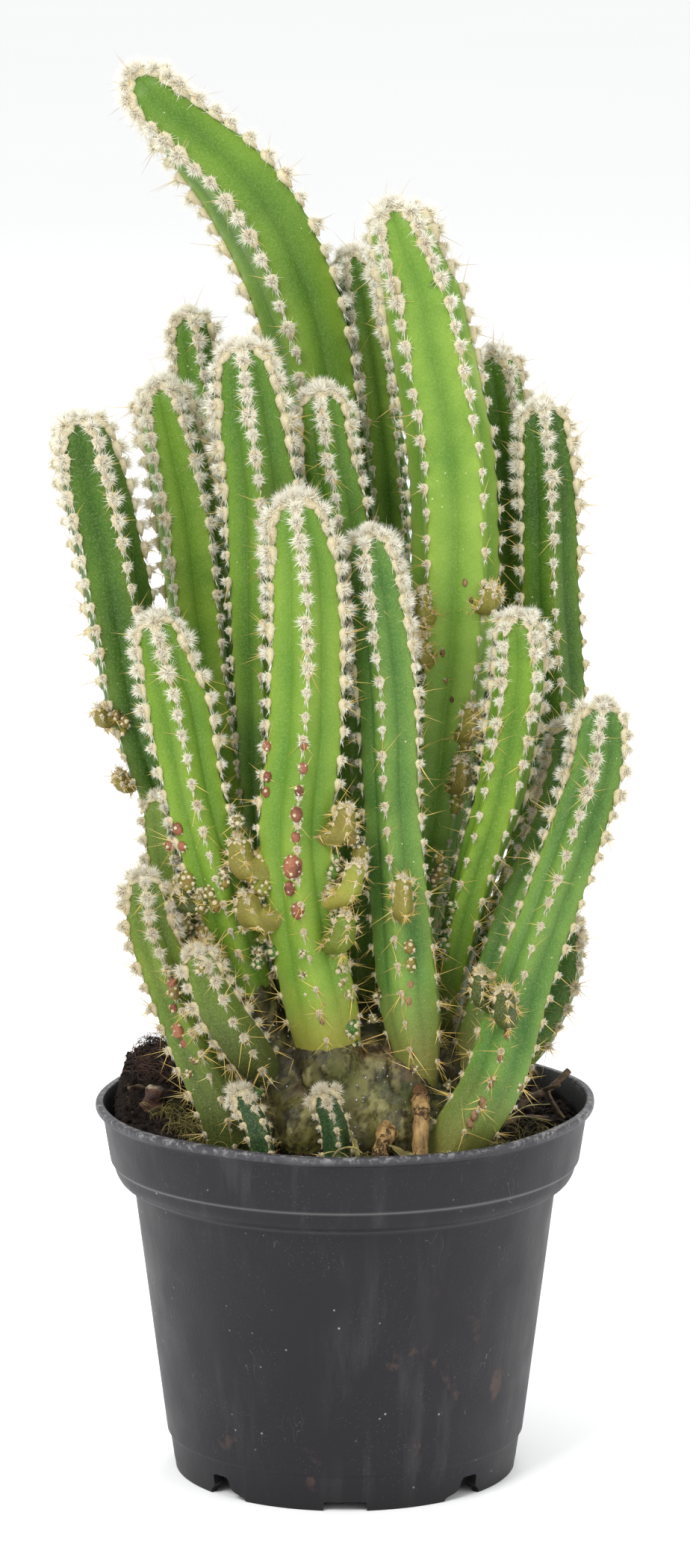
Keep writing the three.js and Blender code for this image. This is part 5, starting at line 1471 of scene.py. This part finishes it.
# Where they sit, from the photograph: [x, y, z, radius] in millimetres.
BUDS = {
    "olive": [
        [-21.3, -31.6, 139.6, 1.9], [-19.8, -31.3, 134.8, 1.7], [-24.7, -31.1, 132.2, 1.3],
        [-17.1, -31.4, 131.5, 2], [1.2, -31.7, 142.2, 1.9], [3, -31.6, 138.5, 1.6],
        [-16.8, -29.8, 120.5, 1], [-32.5, -28.9, 131.8, 2], [-29.7, -28.9, 127, 1.7],
        [-27.6, -31.2, 130.1, 1.3], [-26.4, -31.2, 127.5, 1.3], [-32.9, -26.9, 122.2, 1.6],
        [-29.3, -26.6, 121.4, 1.3], [-26.1, -26.1, 116.2, 1.7], [-28.8, -26.2, 120.1, 0.9],
        [-33.7, -26.2, 117.7, 1.1], [-24.3, -26.1, 115.2, 1], [13.1, -30.7, 118.6, 1.2],
        [13.5, -30.9, 115, 1.3], [11.3, -31, 124.9, 0.9], [16.5, -9.1, 188.9, 1.1],
        [16.5, -9.2, 187.1, 1.2], [16.4, -9.3, 183.5, 1], [16.4, -9.4, 179.9, 1], [25.8, -9.7, 162, 1.2],
        [25.3, -9.6, 158.3, 1.3], [25, -9.6, 156.6, 1.3], [24.5, -9.6, 153.1, 1.3], [24, -9.4, 149.7, 1.3],
        [23.2, -9.2, 144.8, 1.3], [22.9, -9.1, 143.2, 1.1], [19.4, -16.1, 134.1, 1.1],
        [19.7, -15.6, 131.4, 1.3], [18.5, -15.3, 129.5, 1.1], [-45.4, -12.5, 162.1, 1.1],
        [-45.7, -12, 160.1, 0.9], [-46.9, -12.7, 163.7, 0.9], [-34.6, -35.9, 110.4, 1.4],
        [-36.4, -35.6, 114.8, 0.8], [43.4, -17.5, 115.2, 1.1],
    ],
    "green": [
        [-20.3, -30.6, 125.8, 1.7], [-20.6, -30.2, 122.9, 1.1], [-14.9, -29.7, 117.6, 1.2],
        [-17.8, -29.1, 114.6, 1], [-1.7, -31.3, 126, 1.7], [-0.8, -30.5, 122.1, 1.3],
        [-2.4, -31.9, 134.5, 1.3], [-1.8, -31.5, 137.4, 0.9], [1, -28.8, 101.4, 1.7], [1.8, -27.2, 97.5, 1],
        [-1.5, -30.6, 113.9, 1], [21.1, -14.9, 126.1, 1], [22.4, -19.2, 124.8, 0.9],
        [21.6, -17.9, 121.6, 1], [20.8, -17, 118, 1], [20.7, -17.5, 116, 0.9], [21, -16.9, 114.1, 0.7],
        [-18, -28.4, 87.6, 1.3], [-20.3, -27.9, 85, 0.9], [43.9, -17, 118.1, 1], [45.7, -10.7, 120.6, 0.9],
    ],
    "scab": [
        [-8.3, -36.7, 161.7, 0.9], [-8.4, -36.7, 156.9, 1], [-9.3, -37.2, 152.3, 1],
        [-9.8, -37.4, 147.6, 1.3], [-10, -37.4, 142.9, 1], [-10.6, -36.6, 136.5, 2],
        [-11.2, -35.2, 131.8, 1.3], [-9.7, -35.6, 127.3, 1.4], [-15.9, -31.3, 160.5, 0.9],
        [-15.8, -32.1, 154.3, 0.9], [-16.1, -32.3, 151.2, 0.9], [-34.1, -30, 143.1, 1.2],
        [-36, -29.2, 139.5, 0.9], [-33.2, -29.9, 139.5, 0.9], [-35.2, -35.6, 111.9, 1.1],
        [-34, -34.2, 101.9, 1.4], [-32.9, -34.1, 99.2, 0.9], [-35, -34.7, 106.7, 0.8],
        [28.6, -9, 188.6, 0.9], [29.2, -6.3, 186.5, 0.9], [28.6, -9.1, 186.7, 0.9],
        [28.5, -9.1, 186.7, 0.7], [26.8, -31.5, 107.6, 0.8],
    ],
    "cream": [
        [-22.2, -31.6, 145, 1.3], [-24.7, -31.2, 134.4, 1.4], [3.4, -31.4, 137.2, 1.4],
        [-3.2, -32.1, 130, 1.9], [0.1, -29.6, 119.8, 1.1], [-1.7, -30.7, 118.3, 1.1],
        [-1, -30.2, 114.1, 1.2], [-1.1, -30.1, 111, 1.1], [0.1, -29.4, 108.5, 0.9],
        [-17.9, -29.4, 117.3, 0.9], [-8.6, -34.1, 118.1, 0.7], [-8.8, -32.7, 113.4, 0.7],
        [-33.9, -28.5, 131.9, 1.1], [-29.4, -29.6, 129.8, 1], [-33.4, -27.4, 124.7, 1],
        [27.5, -30.9, 113.7, 1.1], [47, -11.1, 121.2, 0.9], [30.1, -21.2, 104.1, 0.9],
        [-29.5, -36.9, 118.8, 1.4], [-29.2, -42.4, 116.7, 1.2],
    ],
    "star": [
        [1.1, -28.7, 107, 0.8], [5.8, -27.1, 102.6, 0.8], [6.6, -28, 108, 0.7], [-8.2, -33.1, 113.5, 0.6],
        [-7.7, -32.3, 109.3, 0.6], [-8.6, -28.9, 101.9, 0.6], [-30.7, -34.7, 95.8, 0.9],
        [-31.9, -33.4, 92.7, 0.9], [14, -30.9, 93.2, 0.7], [21.2, -28.1, 89.1, 0.7],
        [28.5, -21.7, 99.1, 0.7], [21, -19.3, 104, 0.8], [-16.2, -34.4, 95.7, 0.6],
        [-20.3, -41.2, 101.3, 0.6], [35.8, -35.3, 90.2, 0.7], [30.2, -38.5, 92.7, 0.6],
        [21.6, -3, 107.5, 0.8],
    ],
    "scar": [
        [13.3, -30.9, 110.7, 0.9], [13, -31.3, 107.8, 0.9], [13.5, -31.2, 106.1, 0.9],
        [13.7, -31.4, 102.4, 0.6], [14, -31.2, 99.3, 0.6], [13.9, -31.1, 96.2, 0.6],
        [32.9, -37.4, 101.8, 0.6], [29.8, -38.3, 91.6, 0.6], [28, -38.2, 87.6, 0.9], [26.5, -38, 84.9, 0.9],
        [25.5, -37.9, 83.3, 0.8], [22.4, -36.5, 80.3, 0.6], [31.6, -38, 97, 0.6], [24.7, -8.2, 190.5, 0.6],
        [26, -8.6, 186.8, 0.6], [20.1, -8.8, 175.8, 0.6], [20.8, -8.6, 170, 0.4], [22.1, -8.7, 166.1, 0.5],
        [-4.7, -32.6, 103.5, 0.6], [-4.3, -32.4, 107.1, 0.5],
    ],
}
REAR_BUDS = [
    [-7, 40, 141, 1.8], [-8, 39.5, 136, 1.4], [-1, 42, 131, 1.6], [-2, 41.5, 126, 1.3], [3, 40, 121, 1.6],
    [28, 37, 128, 1.5], [27, 36, 122, 1.3], [22, 36, 116, 1.6], [-36, 31, 118, 1.6], [-34, 31, 112, 1.4],
    [-29, 30, 106, 1.6], [-28, 29, 100, 1.3], [14, 43, 101, 1.4], [17, 42, 108, 1.2],
]
BUDS["olive"] += REAR_BUDS[0::2]
BUDS["scab"] += REAR_BUDS[1::2]

tree, given = tree_with("lumpy_buds", Lumps=0.3, Lump_Scale=330.0, Length=1.15, Finish="")
spots = flow(node(tree, "GeometryNodeMeshToPoints", Mesh=given["Geometry"]))
size = named(tree, "size")
balls = copied(tree, spots, round_ball(tree, 3), (0, 0, 0), triple(tree, size, size, size * given["Length"]))
balls = flow(node(tree, "GeometryNodeRealizeInstances", Geometry=balls))
lobes = cells_at(tree, given["Lump_Scale"]) - 0.5
rough = noise_at(tree, position(tree), given["Lump_Scale"] * 2.0, 3.0) - 0.5
lift = (rough * 0.8 - lobes) * given["Lumps"] * size
balls = store(tree, moved(tree, balls, Offset=facing(tree) * lift), lobe=lobes)
bud_tree = close_tree(tree, smoothed(tree, balls), given["Finish"])


# Tufts in a square metre, at most.
DENSEST = 2.0e6


def tufts_on(tree, given):
    """Points spread evenly over the buds, each with the way that the skin faces there."""
    points, outward = strewn_over(tree, given["Geometry"], "POISSON", Distance_Min=given["Spacing"],
                                  Density_Max=DENSEST, Density_Factor=1.0, Seed=given["Seed"])
    return store(tree, points, outward=outward)


# Small dots of wool and short hairs on the buds. Numbers without a unit are shares of a tuft.
DOT_REACH = 0.4
DOT_HEIGHT = 0.75
DOT_HAIRS_OUT = 0.7
DOT_SIZES = (0.6, 1.25)
tree, given = tree_with("bud_wool", Spacing=1.4 * MM, Tuft=0.5 * MM, Hairs=12.0, Hair_Length=0.7 * MM,
                        Hair_Radius=0.06 * MM, Seed=1, Finish="")
points = tufts_on(tree, given)
points = store(tree, points, tuft=given["Tuft"] * chance(tree, *DOT_SIZES, given["Seed"] + 1))
tuft, outward = named(tree, "tuft"), named_way(tree, "outward")
hairs, _ = repeated(tree, points, given["Hairs"])
ball = any_way(tree, given["Seed"] + 2)
hairs = store(tree, hairs, way=(outward * DOT_HAIRS_OUT + ball).do("NORMALIZE"),
              hair_length=given["Hair_Length"] * chance(tree, *HAIR_SPREAD, given["Seed"] + 3),
              shade=chance(tree, 0.0, 1.0, given["Seed"] + 4))
hairs = moved(tree, hairs, Position=position(tree) + ball * (tuft * DOT_REACH))
hair_scale = triple(tree, given["Hair_Radius"], given["Hair_Radius"], named(tree, "hair_length"))
standing = raised(tree, hairs, needle(tree, "hair"), named_way(tree, "way"), hair_scale)
dot = smoothed(tree, round_ball(tree, 1))
dots = raised(tree, points, dot, outward, triple(tree, tuft, tuft, tuft * DOT_HEIGHT))
bud_wool_tree = close_tree(tree, joined(tree, standing, dots), given["Finish"])

tree, given = tree_with("bud_spines", Spacing=1.4 * MM, Spines=0.8, Shortest=1.5 * MM, Longest=4.5 * MM,
                        Spine_Radius=0.1 * MM, Widest=62.4 * MM, Seed=1, Finish="")
amount = given["Spines"] * chance(tree, 0.0, 2.0, given["Seed"] + 5)
bud_spine_tree = close_tree(tree, bristling(tree, given, tufts_on(tree, given), amount), given["Finish"])


def bud_material(name, pale, deep, low):
    """Bud skin: two tints in soft patches, and a darker one between the lobes."""
    new, tree, shader = material(name)
    tint = layered(
        tree, mixed(tree, grain(tree, 150.0, 3.0).between(0.38, 0.62), pale, deep),
        (attribute(tree, "lobe").between(0.0, 0.3) * 0.7, low),
        (cells(tree, 1800.0).between(0.3, 0.15) * 0.2, srgb(210, 200, 160)))
    finish_with(tree, shader, Base_Color=tint, Roughness=grain(tree, 400.0) * 0.2 + 0.4,
                Specular_IOR_Level=0.25, Normal=bump(tree, grain(tree, 1400.0, 3.0), 0.15 * MM))
    return new


# Each kind: its skin's pale, deep and low colours, then what it changes in the three trees.
BUD_LOOKS = {
    "olive": dict(
        colours=[(116, 124, 40), (120, 98, 46), (66, 60, 26)], body=dict(),
        wool=dict(Spacing=1.05 * MM, Tuft=0.48 * MM, Hairs=8.0), spines=dict(Spacing=2.0 * MM)),
    "green": dict(
        colours=[(74, 112, 36), (58, 92, 34), (36, 60, 20)], body=dict(),
        wool=dict(Spacing=1.0 * MM, Tuft=0.55 * MM, Hairs=18.0, Hair_Length=0.8 * MM),
        spines=dict(Spacing=1.6 * MM)),
    "scab": dict(
        colours=[(146, 92, 66), (118, 70, 52), (80, 44, 34)], body=dict(Lumps=0.35, Length=1.25),
        wool=dict(Spacing=1.3 * MM, Tuft=0.34 * MM, Hairs=4.0), spines=dict(Spacing=2.0 * MM)),
    "cream": dict(
        colours=[(120, 116, 60), (110, 96, 60), (90, 80, 50)], body=dict(Lumps=0.4, Length=0.9),
        wool=dict(Spacing=0.62 * MM, Tuft=0.5 * MM, Hairs=12.0, Hair_Length=1.0 * MM),
        spines=dict(Spacing=1.5 * MM)),
    "star": dict(
        colours=[(110, 100, 56), (90, 76, 44), (70, 54, 34)], body=dict(),
        wool=dict(Spacing=0.7 * MM, Tuft=0.4 * MM, Hairs=8.0),
        spines=dict(Spacing=1.1 * MM, Spines=2.6, Longest=6.5 * MM)),
    "scar": dict(
        colours=[(140, 112, 76), (108, 78, 52), (66, 44, 28)], body=dict(Lumps=0.6, Length=1.5),
        wool=dict(Spacing=2.2 * MM, Tuft=0.25 * MM, Hairs=3.0), spines=dict(Spacing=3.0 * MM, Spines=1.2)),
}
WOOL_SEED = 60
SPINE_SEED = 80
for order, (kind, looks) in enumerate(BUD_LOOKS.items()):
    skin = bud_material("bud_" + kind, *(srgb(*colour) for colour in looks["colours"]))
    host = host_of(kind + "_spots", np.array(BUDS[kind]) * MM, [], "size")
    bodies = run_tree(bud_tree, host, "buds_" + kind, ("lobe",), Finish=skin, **looks["body"])
    tufts = run_tree(bud_wool_tree, bodies, "buds_wool_" + kind, ("hair", "shade"), Finish=wool_finish,
                     Seed=WOOL_SEED + order, **looks["wool"])
    bristles = run_tree(bud_spine_tree, bodies, "buds_spines_" + kind, ("along", "shade"),
                        Finish=spine_finish, Seed=SPINE_SEED + order, **looks["spines"])
    bpy.data.objects.remove(host)
    hand_over(bodies, "skin_green" if kind == "green" else "skin_olive")
    hand_over(tufts, "areole_wool")
    hand_over(bristles, "spines")

# ---- Loose things ---------------------------------------------------------------------------
# Dry olive moss and shreds on the peat at the front left and right, strips and flakes of old
# bract, a broken bark stub with a pale top, pale curled threads, and small dark twigs.

moss_finish, tree, shader = material("moss")
dry_moss = mixed(tree, grain(tree, 220.0, 3.0).between(0.36, 0.62), srgb(58, 52, 24), srgb(132, 122, 58))
finish_with(tree, shader, Base_Color=dry_moss, Roughness=grain(tree, 900.0) * 0.2 + 0.7)

# Patches of moss: x, y, reach, strands in a square metre, longest strand in millimetres.
MOSS = [
    (-30, -20, 7, 900000.0, 7.0), (-22, -29, 7, 700000.0, 6.0), (-37, -10, 5, 500000.0, 6.0),
    (31, -29, 6, 500000.0, 5.0), (38, -20, 6, 200000.0, 8.0), (2, -41, 5, 250000.0, 5.0),
    (20, 30, 9, 150000.0, 6.0),
]
MOSS_RISE = 0.6
MOSS_SEED = 40
MOSS_LAYERS = [(0.45, 0.35), (-0.35, 0.5)]
moss_pieces = []
for order, (x, y, reach, amount, longest) in enumerate(MOSS):
    host = patch("moss_patch", x, y, reach, MOSS_RISE)
    for k, (bend, arch) in enumerate(MOSS_LAYERS):
        moss_pieces.append(run_tree(
            strand_tree, host, "moss", Amount=amount, Shortest=2 * MM, Longest=longest * MM, Bend=bend,
            Arch=arch, Thickness=0.04, Tilt=0.7, Seed=MOSS_SEED + 2 * order + k, Finish=moss_finish))
    bpy.data.objects.remove(host)
hand_over(merge(moss_pieces, "dry_moss"), "moss")

# Strips: a cupped ribbon along a route, frayed at its edges.
STRIP_THICKNESS = 0.12 * MM
tree, given = tree_with("cupped_strip", Cup=0.5, Fray=0.35 * MM, Finish="")
left_bend, right_bend = (triple(tree, across, given["Cup"], 0.0) for across in (-0.4, 0.4))
section = bent_line(tree, 6, (-1.0, 0.0, 0.0), left_bend, right_bend, (1.0, 0.0, 0.0))
strip = swept(tree, route_of(tree, given), section, named(tree, "girth"))
fray = noise_at(tree, position(tree), 700.0, 3.0, output="Color") - (0.5, 0.5, 0.5)
strip = moved(tree, strip, Offset=fray * (given["Fray"] * 3.0))
strip = flow(node(tree, "GeometryNodeExtrudeMesh", Mesh=strip, Offset_Scale=STRIP_THICKNESS,
                  Individual=False), "Mesh")
strip_tree = close_tree(tree, strip, given["Finish"])

bract_finish, tree, shader = material("dry_bract")
straw = mixed(tree, grain(tree, 420.0, 4.0, 0.6, (0.4, 1.0, 1.0)).between(0.38, 0.6), srgb(92, 84, 40),
              srgb(164, 154, 90))
straw = mixed(tree, grain(tree, 140.0).between(0.52, 0.64) * 0.5, straw, srgb(74, 58, 32))
finish_with(tree, shader, Base_Color=straw, Roughness=0.6,
            Normal=bump(tree, grain(tree, 1100.0, 3.0), 0.3 * MM))

# [x, y, z, half its width] in millimetres.
STRIPS = [
    [[-37, -8, 80.5, 0.5], [-34.5, -9.5, 82, 1.1], [-31.5, -11, 81.5, 1.2], [-29, -13, 79.5, 0.9],
     [-27.6, -15, 77, 0.3]],
    [[-22, -34, 77.5, 0.4], [-20, -35.5, 78.8, 1.6], [-17.6, -37, 78.6, 1.5], [-15.5, -38.5, 78, 0.5],
     [-13, -36.5, 79, 0.3]],
    [[-31, -19, 77, 0.4], [-30.5, -21, 79, 1.1], [-29, -23.5, 78.2, 1.2], [-28, -26, 76.5, 0.5]],
    [[2.7, -42.5, 76.5, 0.9], [2.2, -42.2, 79.5, 0.8], [1.2, -42, 82, 0.5], [0.8, -41.8, 83.2, 0.2]],
    [[9, -40.5, 79.5, 0.4], [11, -42, 78.5, 1.2], [13, -43.2, 78, 1.1], [14, -43.8, 77.4, 0.3]],
    [[28, -33, 76.5, 0.4], [30.5, -31.5, 77.6, 1], [33, -30, 77, 0.4]],
    [[14, 40, 76.5, 0.5], [18, 38, 78, 1.1], [22, 37, 76.8, 0.4]],
]
hand_over(along_routes(strip_tree, "bract_strips", STRIPS, Finish=bract_finish), "moss")

# Threads, sticks and the stub: [x, y, z, radius] in millimetres.
THREADS = [
    [[-3, -46.5, 77, 0.2], [-1.5, -45.5, 79.4, 0.24], [1.5, -44.2, 79.8, 0.24], [3.5, -43.5, 78.4, 0.2]],
    [[-6, -45, 76.5, 0.16], [-4, -45.2, 78.8, 0.18], [-1, -45, 78.9, 0.18], [1.5, -44.5, 77.2, 0.14]],
    [[34, -12, 78, 0.18], [38, -8, 79.5, 0.16], [43, -4, 79, 0.12]],
    [[30, -20, 78, 0.2], [36, -15, 79, 0.18], [43, -12, 77.4, 0.14]],
    [[-24, -22, 77.5, 0.2], [-20, -26, 80, 0.2], [-15, -29, 79, 0.15]],
]
STICKS = [
    [[42.5, -5, 82, 0.4], [44, -6, 79, 0.42], [46, -6.8, 76.6, 0.35]],
    [[32, -13, 76.5, 0.5], [37, -10, 77.6, 0.5], [42.5, -8, 77, 0.4]],
    [[-40, 4, 78, 0.5], [-43, 1, 81.5, 0.45], [-45.5, -2, 82, 0.35]],
]
STUB = [[-40.5, -6, 76, 2.2], [-40.2, -6, 79.5, 2.3], [-39.8, -6.4, 83, 2]]
BROKEN_TOP = (83.9, 84.6)

threads = along_routes(tube_tree, "pale_threads", THREADS, Sides=6, Knobs=0.05 * MM, Knob_Scale=500.0,
                       Finish=bract_finish)
hand_over(threads, "moss")
sticks = along_routes(tube_tree, "small_sticks", STICKS, Sides=8, Knobs=0.12 * MM, Knob_Scale=TWIG_KNOB_SCALE,
                      Finish=twig_bark)
hand_over(sticks, "twig")

stub_bark, tree, shader = material("bark_stub")
reddish = mixed(tree, grain(tree, 620.0, 4.0, 0.7).between(0.38, 0.62), srgb(34, 20, 16), srgb(92, 58, 44))
height = apart(tree, on_piece(tree))[2]
pale_top = (height * TO_MM + grain(tree, 500.0, 3.0) * 2.0).between(*BROKEN_TOP)
reddish = mixed(tree, pale_top * 0.85, reddish, srgb(190, 172, 140))
finish_with(tree, shader, Base_Color=reddish, Roughness=0.85,
            Normal=bump(tree, grain(tree, 900.0, 4.0, 0.7), 0.5 * MM))
stub = along_routes(tube_tree, "bark_stub", [STUB], Sides=24, Knobs=0.9 * MM, Knob_Scale=TWIG_KNOB_SCALE,
                    Finish=stub_bark)
hand_over(stub, "twig")
